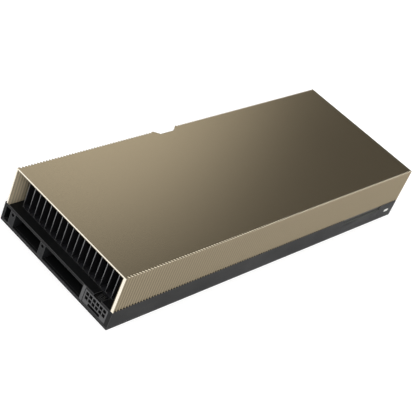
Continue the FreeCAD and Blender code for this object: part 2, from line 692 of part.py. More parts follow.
def board_holes():
    """Clearance holes for screws and close-fitting holes for the header's square pins."""
    low = BOARD_UNDER - OVER
    high = BOARD_TOP + OVER
    holes = [upright(x, y, low, high, PLATE_SCREW_R + PASS_FIT) for x, y in plate_screw_places()]
    holes += [upright(x, y, low, high, HEATSINK_SCREW_R + PASS_FIT) for x, y in leg_places()]
    pin_hole = PIN + 2 * PIN_FIT
    for row in range(HEADER_ROWS):
        x = header_tail_x(row)
        holes += [block_at(x, y, low, pin_hole, pin_hole, high - low) for y in header_columns()]
    return holes


def contact_row(x0, x1, y0, y1):
    """Gold contacts on both faces of a tab, at the contact pitch between x0 and x1."""
    count = int((x1 - x0) / CONTACT_PITCH)
    first = (x0 + x1) / 2 - (count - 1) / 2 * CONTACT_PITCH
    contacts = []
    for number in range(count):
        left = first + number * CONTACT_PITCH - CONTACT_WIDTH / 2
        for z0 in (BOARD_UNDER - CONTACT_THICKNESS, BOARD_TOP):
            contacts.append(box(left, left + CONTACT_WIDTH, y0, y1, z0, z0 + CONTACT_THICKNESS))
    return contacts


def make_slot_contacts():
    """Contacts of the slot tab, in two runs parted by the key."""
    y1 = SLOT_TIP - TAB_BEVEL
    y0 = y1 - CONTACT_LENGTH
    contacts = contact_row(LENGTH - TAB_KEY, LENGTH - TAB_START, y0, y1)
    return contacts + contact_row(LENGTH - TAB_END, LENGTH - TAB_KEY - KEY_WIDTH, y0, y1)


def make_link_contacts():
    """Contacts of the link tab."""
    y0 = FRAME_WALL + FIT + LINK_FIT
    return contact_row(LINK_X - LINK_TAB_WIDTH / 2, LINK_X + LINK_TAB_WIDTH / 2, y0, y0 + LINK_CONTACT_LENGTH)


def make_link_cover():
    """Cap over the link tab, flush with the frame's side."""
    half = LINK_COVER_WIDTH / 2
    cap = box(LINK_X - half, LINK_X + half, 0, LINK_COVER_DEPTH, WINDOW_BOTTOM, LINK_COVER_TOP - FIT)
    slot_half = LINK_TAB_WIDTH / 2 + LINK_FIT
    slot = box(
        LINK_X - slot_half, LINK_X + slot_half, LINK_COVER_FACE, LINK_COVER_DEPTH + OVER,
        BOARD_UNDER - LINK_FIT, BOARD_TOP + LINK_FIT)
    return cap.cut(slot)


# ---- power header ----
def make_power_header():
    """Header housing: twelve square cells, the sense slot and the split latch ramp."""
    y1 = HEADER_Y + HEADER_WIDTH
    housing = box(HEADER_FRONT, HEADER_BACK, HEADER_Y, y1, HEADER_BOTTOM, HEADER_TOP)
    ramps = []
    for side in (-1, 1):
        y = HEADER_MID_Y + side * (LATCH_WIDTH + LATCH_GAP) / 2
        x0 = HEADER_FRONT + LATCH_SETBACK
        x1 = x0 + LATCH_LENGTH
        top = HEADER_TOP + LATCH_HEIGHT
        root = HEADER_TOP - FIT
        outline = [(x0, root), (x0, HEADER_TOP), (x1 - LATCH_CREST, top), (x1, top), (x1, root)]
        ramps.append(side_prism(outline, y - LATCH_WIDTH / 2, y + LATCH_WIDTH / 2))
    housing = fuse_all([housing] + ramps)
    cuts = []
    half = CELL / 2
    for z in header_rows():
        for y in header_columns():
            cell_x1 = HEADER_FRONT + CELL_DEPTH
            cuts.append(box(HEADER_FRONT - OVER, cell_x1, y - half, y + half, z - half, z + half))
            cuts.append(block_along(cell_x1 - OVER, HEADER_BACK + OVER, y, z, PIN + 2 * PIN_FIT))
    slot_half = SENSE_SLOT_WIDTH / 2
    slot_x1 = HEADER_FRONT + SENSE_SLOT_DEPTH
    cuts.append(box(
        HEADER_FRONT - OVER, slot_x1, HEADER_MID_Y - slot_half, HEADER_MID_Y + slot_half,
        SENSE_SLOT_TOP - SENSE_SLOT_HEIGHT, SENSE_SLOT_TOP))
    for y in sense_columns():
        cuts.append(block_along(slot_x1 - OVER, HEADER_BACK + OVER, y, sense_z(), SENSE_PIN + 2 * PIN_FIT))
    return cut_all(housing, cuts)


def block_along(x0, x1, y, z, side):
    """Square bar along the card's length."""
    return box(x0, x1, y - side / 2, y + side / 2, z - side / 2, z + side / 2)


def sense_z():
    """Z of the sense contacts inside their slot."""
    return SENSE_SLOT_TOP - SENSE_SLOT_HEIGHT / 2


def make_power_pins():
    """Square pins that run back through the housing and turn down into the board."""
    pins = []
    x0 = HEADER_FRONT + PIN_SETBACK
    half = PIN / 2
    low = BOARD_UNDER - PIN_BELOW_BOARD
    for row, z in enumerate(header_rows()):
        tail = header_tail_x(row)
        outline = [
            (x0, z - half), (tail - half, z - half), (tail - half, low),
            (tail + half, low), (tail + half, z + half), (x0, z + half),
        ]
        pins += [side_prism(outline, y - half, y + half) for y in header_columns()]
    return pins


def make_sense_pins():
    """Small contacts of the sense slot, with feet on the board's top."""
    x0 = HEADER_FRONT + PIN_SETBACK
    half = SENSE_PIN / 2
    z = sense_z()
    rise_x = HEADER_BACK + FIT + SENSE_PIN
    foot_x = HEADER_BACK + HEADER_BOARD_GAP + SENSE_FOOT
    outline = [
        (x0, z - half), (rise_x, z - half), (rise_x, BOARD_TOP), (foot_x, BOARD_TOP),
        (foot_x, BOARD_TOP + SENSE_PIN), (rise_x - SENSE_PIN, BOARD_TOP + SENSE_PIN),
        (rise_x - SENSE_PIN, z + half), (x0, z + half),
    ]
    return [side_prism(outline, y - half, y + half) for y in sense_columns()]


# ---- heatsink ----
def make_heatsink_base():
    """Flanged plate in the frame's pocket, with the processor's pedestal and four legs."""
    flange = box(
        END_DECK + FIT, LENGTH - END_DECK - FIT,
        SIDE_DECK_LINK + FIT, POCKET_Y1 - FIT, DECK_UNDER, FRAME_TOP)
    step = LEDGE_WIDTH + FIT
    lower = box(
        END_DECK + step, LENGTH - END_DECK - step,
        SIDE_DECK_LINK + step, POCKET_Y1 - step, BASE_UNDER, DECK_UNDER)
    pedestal_x = DIE_X + 2 * (STACK_GAP + STACK_X) + 2 * PEDESTAL_MARGIN
    pedestal_y = DIE_Y + 2 * PEDESTAL_MARGIN
    pedestal_z = GPU_TOP + PASTE
    pedestal = block_at(GPU_X, GPU_Y, pedestal_z, pedestal_x, pedestal_y, BASE_UNDER - pedestal_z)
    legs = [upright(x, y, BOARD_TOP, BASE_UNDER, LEG_R) for x, y in leg_places()]
    base = fuse_all([flange, lower, pedestal] + legs)
    hole_top = BOARD_TOP + HEATSINK_SCREW_REACH + FIT
    cuts = [upright(x, y, 0, hole_top, HEATSINK_SCREW_R + SCREW_FIT) for x, y in leg_places()]
    cuts.append(box(0, HEADER_BACK + FIT, 0, HEADER_Y + HEADER_WIDTH + FIT, 0, HEADER_TOP + FIT))
    return cut_all(base, cuts + [pin_space()])


def make_fin_stack():
    """Long upright fins, each with a foot folded onto the base."""
    top = HEIGHT - ROOF - FIN_TOP_CLEAR
    fins = []
    for y in fin_places():
        outline = [
            (y + FIN - FIN_FOOT, FRAME_TOP), (y + FIN, FRAME_TOP), (y + FIN, top),
            (y, top), (y, FRAME_TOP + FIN), (y + FIN - FIN_FOOT, FRAME_TOP + FIN),
        ]
        fins.append(end_prism(outline, FIN_RECESS, LENGTH - FIN_RECESS))
    return fins


# ---- processor package ----
def make_package_substrate():
    """Carrier of the processor, with its solder balls as one slab."""
    return block_at(GPU_X, GPU_Y, BOARD_TOP, SUBSTRATE, SUBSTRATE, SUBSTRATE_THICKNESS)


def make_processor_die():
    """Bare processor chip."""
    return block_at(GPU_X, GPU_Y, BOARD_TOP + SUBSTRATE_THICKNESS, DIE_X, DIE_Y, DIE_THICKNESS)


def make_memory_stacks():
    """Memory stacks in a column on each side of the chip."""
    offset = DIE_X / 2 + STACK_GAP + STACK_X / 2
    z0 = BOARD_TOP + SUBSTRATE_THICKNESS
    stacks = []
    for side in (-1, 1):
        for row in range(STACK_ROWS):
            y = GPU_Y + (row - (STACK_ROWS - 1) / 2) * (STACK_Y + STACK_GAP)
            stacks.append(block_at(GPU_X + side * offset, y, z0, STACK_X, STACK_Y, DIE_THICKNESS))
    return stacks


def make_stiffener_ring():
    """Metal ring round the edge of the carrier."""
    z0 = BOARD_TOP + SUBSTRATE_THICKNESS
    inner = SUBSTRATE - 2 * RING_WIDTH
    ring = block_at(GPU_X, GPU_Y, z0, SUBSTRATE, SUBSTRATE, RING_THICKNESS)
    return ring.cut(block_at(GPU_X, GPU_Y, z0 - OVER, inner, inner, RING_THICKNESS + 2 * OVER))


def make_thermal_paste():
    """Layer between chip, memory and the heatsink's pedestal."""
    size_x = DIE_X + 2 * (STACK_GAP + STACK_X) + 2 * PASTE_MARGIN
    return block_at(GPU_X, GPU_Y, GPU_TOP, size_x, DIE_Y + 2 * PASTE_MARGIN, PASTE)


# ---- voltage regulators and other board parts ----
def choke_rows():
    """Y of each choke in a column."""
    run = FRAME_WIDTH - 2 * CHOKE_EDGE - CHOKE_Y
    count = int(run / CHOKE_PITCH) + 1
    middle = FRAME_WIDTH / 2
    return [middle + (row - (count - 1) / 2) * CHOKE_PITCH for row in range(count)]


def make_chokes():
    """Columns of chokes beside the processor."""
    return [
        block_at(GPU_X + side * CHOKE_OFFSET, y, BOARD_TOP, CHOKE_X, CHOKE_Y, CHOKE_HEIGHT)
        for side in (-1, 1) for y in choke_rows()]


def make_choke_pads():
    """Soft pads that fill the gap between the chokes and the heatsink base."""
    z0 = BOARD_TOP + CHOKE_HEIGHT
    rows = choke_rows()
    size_y = rows[-1] - rows[0] + CHOKE_Y
    return [
        block_at(GPU_X + side * CHOKE_OFFSET, FRAME_WIDTH / 2, z0, CHOKE_X, size_y, BASE_UNDER - z0)
        for side in (-1, 1)]


def make_power_stages():
    """Flat power stages outside the chokes."""
    return [
        block_at(GPU_X + side * STAGE_OFFSET, y, BOARD_TOP, STAGE_X, STAGE_Y, STAGE_HEIGHT)
        for side in (-1, 1) for y in choke_rows()]


def make_capacitors():
    """Moulded polymer capacitors in the rear part of the board."""
    run = GPU_X - STAGE_OFFSET - CAPACITORS_CLEAR - CAPACITORS_START
    columns = int(run / CAPACITOR_PITCH) + 1
    rows = int((FRAME_WIDTH - 2 * CHOKE_EDGE) / CAPACITOR_PITCH)
    capacitors = []
    for column in range(columns):
        for row in range(rows):
            x = CAPACITORS_START + column * CAPACITOR_PITCH
            y = FRAME_WIDTH / 2 + (row - (rows - 1) / 2) * CAPACITOR_PITCH
            capacitors.append(block_at(x, y, BOARD_TOP, CAPACITOR_X, CAPACITOR_Y, CAPACITOR_HEIGHT))
    return capacitors


def make_control_chips():
    """Controllers and memory chips near the bracket end."""
    chips = []
    for number, (size_x, size_y, thickness) in enumerate(CHIP_SIZES):
        y = CHIP_FIRST_Y + number * CHIP_PITCH_Y
        chips.append(block_at(LENGTH - CHIP_FROM_BRACKET, y, BOARD_TOP, size_x, size_y, thickness))
    return chips


# ---- writing the nodes ----
NODES = {
    "shroud": make_shroud,
    "shroud_screws": make_shroud_screws,
    "base_frame": make_base_frame,
    "rear_posts": make_rear_posts,
    "bracket_posts": make_bracket_posts,
    "backplate": make_backplate,
    "backplate_screws": make_backplate_screws,
    "insulating_film": make_insulating_film,
    "leaf_spring": make_leaf_spring,
    "leaf_pad": make_leaf_pad,
    "heatsink_screws": make_heatsink_screws,
    "circuit_board": make_circuit_board,
    "slot_contacts": make_slot_contacts,
    "link_contacts": make_link_contacts,
    "link_cover": make_link_cover,
    "power_header": make_power_header,
    "power_pins": make_power_pins,
    "sense_pins": make_sense_pins,
    "heatsink_base": make_heatsink_base,
    "fin_stack": make_fin_stack,
    "package_substrate": make_package_substrate,
    "processor_die": make_processor_die,
    "memory_stacks": make_memory_stacks,
    "stiffener_ring": make_stiffener_ring,
    "thermal_paste": make_thermal_paste,
    "chokes": make_chokes,
    "choke_pads": make_choke_pads,
    "power_stages": make_power_stages,
    "capacitors": make_capacitors,
    "control_chips": make_control_chips,
}


def write_nodes():
    """Build each node, move it to the card's reference point and write its file."""
    os.makedirs("parts", exist_ok=True)
    to_origin = FreeCAD.Vector(-LENGTH / 2, -SLOT_TIP / 2, 0)
    for name, make in NODES.items():
        made = make()
        shape = Part.makeCompound(made) if isinstance(made, list) else made
        shape.translate(to_origin)
        shape.exportStep("parts/" + name + ".step")
        print(name, len(shape.Solids), "solids", round(shape.Volume, 1), "mm3", "valid", shape.isValid())


write_nodes()
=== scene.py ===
"""Finish and studio for a passive accelerator card, laid out as an add-on.

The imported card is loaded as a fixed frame. The operators give its pieces their
finishes, add the threads of the posts and the small parts of the circuit board,
and set the studio. Metres throughout: X runs from the power end to the bracket
end, Y from the link side to the slot contacts, Z up from the backplate.
"""

import json
import math

import bpy
import numpy as np
from bpy.props import FloatProperty, FloatVectorProperty, IntProperty, PointerProperty
from mathutils import Matrix, Vector


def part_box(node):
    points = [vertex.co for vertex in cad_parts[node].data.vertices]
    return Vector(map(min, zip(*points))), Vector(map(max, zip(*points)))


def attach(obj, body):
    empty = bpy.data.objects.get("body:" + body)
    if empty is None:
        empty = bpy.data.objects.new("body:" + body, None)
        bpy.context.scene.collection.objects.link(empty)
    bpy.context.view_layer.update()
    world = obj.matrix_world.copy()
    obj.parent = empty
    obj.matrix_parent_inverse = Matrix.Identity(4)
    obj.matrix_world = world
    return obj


bl_info = {
    "name": "Accelerator card finish",
    "version": (1, 0, 0),
    "blender": (4, 5, 0),
    "location": "3D View > Sidebar > Card",
    "description": "Finishes, small parts and studio for a passive accelerator card",
    "category": "Object",
}

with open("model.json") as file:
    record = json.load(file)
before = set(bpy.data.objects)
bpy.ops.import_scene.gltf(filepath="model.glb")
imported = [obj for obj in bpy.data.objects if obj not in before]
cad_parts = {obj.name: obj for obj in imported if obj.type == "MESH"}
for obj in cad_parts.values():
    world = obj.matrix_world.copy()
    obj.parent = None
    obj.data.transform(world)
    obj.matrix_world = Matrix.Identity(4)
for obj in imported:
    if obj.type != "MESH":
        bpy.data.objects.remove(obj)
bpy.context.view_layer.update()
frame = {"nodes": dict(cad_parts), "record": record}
NODES = frame["nodes"]
MM = 0.001
BODY = "root"

SHROUD_LOW, SHROUD_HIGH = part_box("shroud")
FRAME_LOW, FRAME_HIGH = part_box("base_frame")
BOARD_LOW, BOARD_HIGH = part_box("circuit_board")
PLATE_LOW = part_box("backplate")[0]
FINS_LOW, FINS_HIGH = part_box("fin_stack")
SHROUD_MIDDLE_Y = (SHROUD_LOW.y + SHROUD_HIGH.y) / 2


# ---- sizes and colours that a user would change ----
def colour(label, use, default):
    """Linear colour property."""
    return FloatVectorProperty(
        name=label, description=use, default=default, size=3, subtype="COLOR", min=0.0, max=1.0)


def share(label, use, default):
    """Property from nothing to all."""
    return FloatProperty(name=label, description=use, default=default, min=0.0, max=1.0, subtype="FACTOR")


def length(label, use, default):
    """Length property in metres."""
    return FloatProperty(name=label, description=use, default=default, min=0.0, unit="LENGTH", precision=5)


class CardFinish(bpy.types.PropertyGroup):
    """Colours and gloss of the finishes"""

    gold: colour("Gold", "Satin anodised shroud", (0.285, 0.236, 0.158))
    # painted light: the inside takes a gold far paler than the outside, standing for light from the opening
    gold_inside_painted_light: colour("Gold inside", "Matt inner face of the shroud", (0.62, 0.53, 0.375))
    gold_roughness: share("Gold roughness", "Roughness of the blasted and anodised face", 0.21)
    # painted highlight: a bright line along the shroud's long edges, where the sides turn into the roof
    fold_highlight: colour("Burnished fold", "Bright line along the shroud's long edges", (0.92, 0.83, 0.65))
    # bare cut metal at the shroud's ends, kept to bright bands near the outer faces as a painted chamfer
    # highlight
    cut_metal_and_highlight: colour("Cut metal", "Bare lips of the shroud at both ends", (0.86, 0.80, 0.68))
    frame_black: colour("Frame black", "Satin coat of the base frame", (0.0040, 0.0042, 0.0045))
    plate_black: colour("Plate black", "Satin coat of the backplate", (0.0040, 0.0042, 0.0045))
    moulded: colour("Moulded black", "Power header and link cover", (0.0050, 0.0050, 0.0052))
    fin_black: colour("Fin black", "Blackened fins and heatsink base", (0.010, 0.010, 0.0115))
    mask: colour("Solder mask", "Face of the circuit board", (0.006, 0.011, 0.009))
    laminate: colour("Laminate", "Cut edge of the circuit board", (0.046, 0.042, 0.028))
    plating: colour("Gold plate", "Edge contacts", (0.86, 0.60, 0.22))


class CardSizes(bpy.types.PropertyGroup):
    """Sizes of the marks on the finishes and of the small parts that are added"""

    # height of the painted highlight line along the shroud's long edges
    fold: length("Burnished fold", "Height of the bright line along the shroud's long edges", 0.32 * MM)
    # the bare lips are kept to bands by the outer faces, as a painted chamfer highlight
    lip: length("Bare lip", "Width of the bare metal at the ends of the shroud's link side", 1.7 * MM)
    lip_far: length("Thin bare lip", "Width of the bare metal elsewhere at the shroud's ends", 0.85 * MM)
    # reach of the paler edges, partly worn coat and partly a painted highlight
    wear_and_highlight: length("Edge wear", "Reach of the paler, rubbed coat round the frame's edges", 0.45 * MM)
    edge: length("Edge break", "Radius that the light finds on cut and cast edges", 0.25 * MM)
    thread_pitch: length("Thread pitch", "Pitch of the post threads", 0.5 * MM)
    thread_height: length("Thread height", "Ridge inside the tapped hole", 0.13 * MM)
    chip_length: length("Chip length", "Length of a small chip part", 1.6 * MM)
    chip_width: length("Chip width", "Width of a small chip part", 0.8 * MM)
    mark_length: length("Mark length", "Length of the plain printed mark on the frame", 5.0 * MM)
    mark_height: length("Mark height", "Height of the plain printed mark on the frame", 2.2 * MM)
    thread_steps: IntProperty(
        name="Thread steps", description="Facets in one turn of a thread", default=28, min=8)


class CardStudio(bpy.types.PropertyGroup):
    """Camera, key light and floor"""

    azimuth: FloatProperty(
        name="Azimuth", description="Camera's heading from +Y towards +X", unit="ROTATION",
        default=math.radians(57.94))
    elevation: FloatProperty(
        name="Elevation", description="How far the camera looks down", unit="ROTATION",
        default=math.radians(34.93))
    roll: FloatProperty(
        name="Roll", description="Turn of the camera about its own line of sight", unit="ROTATION",
        default=math.radians(23.47))
    distance: length("Distance", "Camera to the point that it aims at", 0.7529)
    aim_rear: length("Aim towards the rear", "Middle of the card to the aim, along its length", 20.6 * MM)
    aim_link: length("Aim towards the link side", "Middle of the card to the aim, across it", 13.7 * MM)
    lens: FloatProperty(name="Lens", description="Focal length in millimetres", default=105.58, min=20.0)
    key: FloatProperty(name="Key", description="Strength of the wide key light", default=1.4, min=0.0)
    floor_glow: share("Floor glow", "Light that the pale floor gives off, as a light table does", 0.18)
    floor_radius: length("Floor radius", "Radius of the pale floor", 6.0)


# ---- node trees, built node by node ----
class Nodes:
    """A node tree with short calls for the nodes that are used here."""

    def __init__(self, tree):
        self.tree = tree

    def feed(self, socket, value):
        """A value or another node's output goes into a socket."""
        if isinstance(value, bpy.types.NodeSocket):
            self.tree.links.new(value, socket)
        else:
            socket.default_value = value

    def node(self, kind, inputs, **settings):
        """One node with its settings and inputs."""
        made = self.tree.nodes.new("ShaderNode" + kind)
        for key, value in settings.items():
            setattr(made, key, value)
        for key, value in inputs.items():
            self.feed(made.inputs[key], value)
        return made

    def math(self, operation, first, second=0.0):
        """One sum on two numbers."""
        return self.node("Math", {0: first, 1: second}, operation=operation).outputs[0]

    def above(self, value, level):
        """1 where the value is over the level, else 0."""
        return self.math("GREATER_THAN", value, level)

    def below(self, value, level):
        """1 where the value is under the level, else 0."""
        return self.math("LESS_THAN", value, level)

    def between(self, value, low, high):
        """1 where the value lies between two levels, else 0."""
        return self.product(self.above(value, low), self.below(value, high))

    def product(self, first, *others):
        """Masks multiplied together: 1 only where all are 1."""
        for other in others:
            first = self.math("MULTIPLY", first, other)
        return first

    def without(self, mask):
        """The rest of a mask: 1 where it is 0."""
        return self.math("SUBTRACT", 1.0, mask)

    def axis(self, vector, name):
        """One coordinate of a vector."""
        return self.node("SeparateXYZ", {0: vector}).outputs[name]

    def span(self, value, low, high, out_low, out_high, smooth=False):
        """A value carried from one span to another and held at its ends."""
        inputs = {0: value, 1: low, 2: high, 3: out_low, 4: out_high}
        kind = "SMOOTHSTEP" if smooth else "LINEAR"
        return self.node("MapRange", inputs, interpolation_type=kind).outputs[0]


class Finish(Nodes):
    """Principled material with short calls for the patterns that feed it."""

    def __init__(self, name, **constants):
        self.material = bpy.data.materials.new(name)
        self.material.use_nodes = True
        super().__init__(self.material.node_tree)
        self.shader = self.tree.nodes["Principled BSDF"]
        for socket, value in constants.items():
            self.shader.inputs[socket.replace("_", " ")].default_value = value
        coordinates = self.node("TexCoord", {})
        self.place = coordinates.outputs["Object"]
        self.facing = coordinates.outputs["Normal"]

    def noise(self, scale, detail=3.0, stretch=None, roughness=0.5):
        """Grain from 0 to 1; scale is in grains a metre, and stretch packs it closer along an axis."""
        place = self.place
        if stretch:
            place = self.node("Mapping", {"Vector": place, "Scale": stretch}, vector_type="POINT").outputs[0]
        inputs = {"Vector": place, "Scale": scale, "Detail": detail, "Roughness": roughness}
        return self.node("TexNoise", inputs).outputs["Fac"]

    def spots(self, scale):
        """Distance to the nearest of scattered points, in cells."""
        return self.node("TexVoronoi", {"Vector": self.place, "Scale": scale}).outputs["Distance"]

    def blend(self, factor, first, second):
        """Mix of two colours."""
        made = self.node("Mix", {0: factor}, data_type="RGBA")
        colours = [socket for socket in made.inputs if socket.type == "RGBA"]
        self.feed(colours[0], opaque(first))
        self.feed(colours[1], opaque(second))
        return next(socket for socket in made.outputs if socket.type == "RGBA")

    def base(self, value):
        """Sets the base colour."""
        self.feed(self.shader.inputs["Base Color"], opaque(value))

    def base_so_far(self):
        """What feeds the base colour now."""
        return self.shader.inputs["Base Color"].links[0].from_socket

    def roughness(self, value):
        """Sets the roughness."""
        self.feed(self.shader.inputs["Roughness"], value)

    def metallic(self, value):
        """Sets how metallic the surface is."""
        self.feed(self.shader.inputs["Metallic"], value)

    def relief(self, height, depth, edge=0.0, strength=1.0):
        """Bump of a given depth over edges that are broken by a small radius."""
        inputs = {"Height": height, "Distance": depth, "Strength": strength}
        if edge:
            inputs["Normal"] = self.node("Bevel", {"Radius": edge}, samples=6).outputs[0]
        self.feed(self.shader.inputs["Normal"], self.node("Bump", inputs).outputs[0])

    def edges(self, reach):
        """1 on edges and corners, 0 on open faces: how far the face turns within a small reach."""
        turned = self.node("Bevel", {"Radius": reach}, samples=8).outputs[0]
        face = self.node("NewGeometry", {}).outputs["Normal"]
        agreement = self.node("VectorMath", {0: turned, 1: face}, operation="DOT_PRODUCT").outputs["Value"]
        return self.span(agreement, TURNED, LEVEL, 1.0, 0.0)

    def wear_and_highlight(self, tone, reach):
        """The finish so far, paler on its edges: partly worn through, partly a painted highlight."""
        self.base(self.blend(self.edges(reach), self.base_so_far(), tone))

    def ends(self, low, high):
        """1 on the faces at either end of the card's length, else 0."""
        along = self.math("SUBTRACT", self.axis(self.place, "X"), (low + high) / 2)
        return self.above(self.math("ABSOLUTE", along), (high - low) / 2 - SKIN)

    def upright_faces(self):
        """1 on faces that stand upright, 0 on faces that lie flat."""
        return self.below(self.math("ABSOLUTE", self.axis(self.facing, "Z")), HALF_TURNED)


def opaque(value):
    """Linear colour with its alpha; anything else is left as it is."""
    if isinstance(value, bpy.types.NodeSocket):
        return value
    return (*value, 1.0)


def shade(value, factor):
    """Lighter or darker copy of a colour."""
    return tuple(min(1.0, part * factor) for part in value)


def finish_nodes(material, *names):
    """The material goes on every slot of the named pieces."""
    for name in names:
        slots = NODES[name].data.materials
        for number in range(len(slots)):
            slots[number] = material


# ---- values of the finishes ----
SKIN = 0.05 * MM              # depth that a mask on a flat face reaches in
TURNED, LEVEL = 0.86, 0.985   # agreement of normals on a full edge, and on an open face
HALF_TURNED = 0.5             # part of a normal past which a face counts as facing that way
PRINT_WHITE = (0.62, 0.62, 0.60)
# painted light: paler tone of the step's back and of the link cover's top
STEP_PAINTED_LIGHT = (0.085, 0.087, 0.082)
RIB_PITCH = 2.18 * MM
VALLEY_FROM, VALLEY_TO = 0.15 * MM, 1.1 * MM    # depths between which painted shade darkens a rib's valley
# share of the gold left in the deepest painted shade of a valley
PAINTED_VALLEY_SHADE = 0.50
FLANK_TURNED = 0.3            # part of a rib's normal that looks sideways
INWARD_TURNED = 0.2           # part of a wall's normal that looks towards the middle line
# edges of the bands of painted light and shade on the inner walls, within a rib's pitch
BAND_FROM, BAND_TO = 0.2 * RIB_PITCH, 0.4 * RIB_PITCH
SIDE_METAL = 0.45             # the ribbed sides are less metallic than the roof, and rougher
SIDE_ROUGHER = 0.2
STEP_REACH = 2.0 * MM         # link side to the back of the step over the link cover
STEP_PAST = 1.0 * MM          # step past the link cover's ends
HEADER_POST_REACH = 2.3 * MM  # header to the far side of the post beside it
MOUTH_DEPTH = 0.3 * MM        # depth of the header's mouth that painted light makes paler
TRACE_SPACING = 0.45 * MM     # middle of a trace to the middle of the gap beside it
TRACE_FROM, TRACE_TO = 0.20 * MM, 0.25 * MM     # middle of the gap to the foot and the top of a trace
TRACE_WANDER = 9.0 * MM       # how far the traces stray across the board
SATIN_GLOSS = 0.15
MOULDED_GLOSS = 0.16
THREAD_GLOSS = 0.03
# paler edges: partly worn coat, partly a painted highlight
EDGE_WEAR_AND_HIGHLIGHT = (0.070, 0.070, 0.072)
# painted light: paler tone of the header's mouth and of the post beside it
HEADER_FACE_PAINTED_LIGHT = (0.082, 0.082, 0.084)
MARK_FROM_BRACKET = 7.7 * MM
MARK_RISE = 6.4 * MM
FIN_CUT = (0.20, 0.20, 0.205)
VIA_TIN = (0.12, 0.115, 0.10)
SCREW_BLACK = (0.020, 0.020, 0.021)
GOLD_GLANCE = (0.84, 0.79, 0.69, 1.0)
# painted shade: thread ridges darker than the frame's coat, so the tapped holes read as shaded
THREAD_PAINTED_SHADE = (0.0015, 0.0015, 0.0015)
STEEL = (0.52, 0.52, 0.53)
SPRING = (0.42, 0.42, 0.43)
TIN = (0.66, 0.62, 0.52)
CAP_TIN = (0.26, 0.25, 0.23)
PAD_GREY = (0.32, 0.34, 0.37)
PASTE_GREY = (0.40, 0.40, 0.41)
PACKAGE_GREEN = (0.016, 0.075, 0.036)
SILICON = (0.24, 0.25, 0.28)
MEMORY_GREY = (0.035, 0.035, 0.04)
NICKEL = (0.60, 0.58, 0.54)
CORE_GREY = (0.055, 0.055, 0.058)
CHIP_BLACK = (0.018, 0.018, 0.019)
CAPACITOR_BLACK = (0.024, 0.024, 0.026)
FILM_BLACK = (0.018, 0.018, 0.019)
CERAMIC = (0.075, 0.052, 0.033)


# ---- finishes ----
def satin_gold(look, sizes):
    """Blasted, anodised sheet: fine grain, slow change of tint, painted shade in the rib valleys, a painted
    highlight along the folds, a paler inside as painted light with painted rib shading, and bare lips at both
    ends kept to bright bands as a painted chamfer highlight.
    """
    made = Finish("satin_gold", Metallic=1.0, Specular_Tint=GOLD_GLANCE)
    slow = made.noise(7.0, 2.0)
    grain = made.noise(2600.0, 2.0)
    tint = made.blend(
        made.span(slow, 0.3, 0.7, 0.0, 1.0), shade(look.gold, 0.985), shade(look.gold, 1.015))
    speck = made.blend(
        made.span(grain, 0.25, 0.75, 0.0, 1.0), shade(look.gold, 0.88), shade(look.gold, 1.12))
    upright = made.without(made.above(made.axis(made.facing, "Z"), HALF_TURNED))
    # painted shade: on upright faces the ribs' valleys darken with depth, standing for the shade between the
    # ribs
    painted_valley_shade = made.product(upright, made.span(side_depth(made), VALLEY_FROM, VALLEY_TO, 0.0, 1.0, True))
    ribbed = made.blend(painted_valley_shade, made.blend(0.5, tint, speck), shade(look.gold, PAINTED_VALLEY_SHADE))
    # painted highlight: a bright line along the fold where the ribbed sides meet the roof
    outside = made.blend(shroud_fold_highlight(made, sizes), ribbed, look.fold_highlight)
    # painted light: the inside faces take the paler gold, with painted rib shading on it
    body = made.blend(facing_inward(made), outside, painted_rib_shading_inside(made, look))
    lip = shroud_lip_highlight(made, sizes)
    # bare cut metal at the ends, kept to bright bands near the outer faces as a painted chamfer highlight
    made.base(made.blend(lip, body, look.cut_metal_and_highlight))
    sides = made.product(made.without(lip), upright)
    made.metallic(made.span(sides, 0.0, 1.0, 1.0, SIDE_METAL))
    satin = made.span(slow, 0.3, 0.7, look.gold_roughness - 0.01, look.gold_roughness + 0.01)
    made.roughness(made.math("ADD", satin, made.product(sides, SIDE_ROUGHER)))
    made.relief(grain, 0.02 * MM, sizes.edge, 0.35)
    return made.material


def side_depth(made):
    """Distance in from the rib tips of the nearer long side of the shroud."""
    from_middle = made.math("ABSOLUTE", made.math("SUBTRACT", made.axis(made.place, "Y"), SHROUD_MIDDLE_Y))
    return made.math("SUBTRACT", (SHROUD_HIGH.y - SHROUD_LOW.y) / 2, from_middle)


def roof_depth(made):
    """Distance down from the shroud's roof."""
    return made.math("SUBTRACT", SHROUD_HIGH.z, made.axis(made.place, "Z"))


def shroud_fold_highlight(made, sizes):
    """1 on the painted highlight line where the ribbed sides turn into the roof."""
    flank = made.above(made.math("ABSOLUTE", made.axis(made.facing, "Y")), FLANK_TURNED)
    return made.product(flank, made.below(roof_depth(made), sizes.fold))


def shroud_lip_highlight(made, sizes):
    """1 on the bare cut metal at both ends of the shroud, kept to bands by the outer faces as a painted
    chamfer highlight, widest on its link side.
    """
    slot_side = made.above(made.axis(made.place, "Y"), 0.0)
    width = made.span(slot_side, 0.0, 1.0, sizes.lip, sizes.lip_far)
    near_side = made.below(side_depth(made), width)
    near_roof = made.below(roof_depth(made), sizes.lip_far)
    rim = made.math("MAXIMUM", near_side, near_roof)
    return made.product(rim, made.ends(SHROUD_LOW.x, SHROUD_HIGH.x))


def painted_rib_shading_inside(made, look):
    """Inner walls: painted light and shade in bands that follow the ribs outside, standing for corrugations
    that the mesh lacks.
    """
    waves = made.math("PINGPONG", made.axis(made.place, "X"), RIB_PITCH / 2)
    rib_shade_band = made.span(waves, BAND_FROM, BAND_TO, 0.0, 1.0, True)
    return made.blend(rib_shade_band, shade(look.gold_inside_painted_light, 1.08), shade(look.gold_inside_painted_light, 0.74))


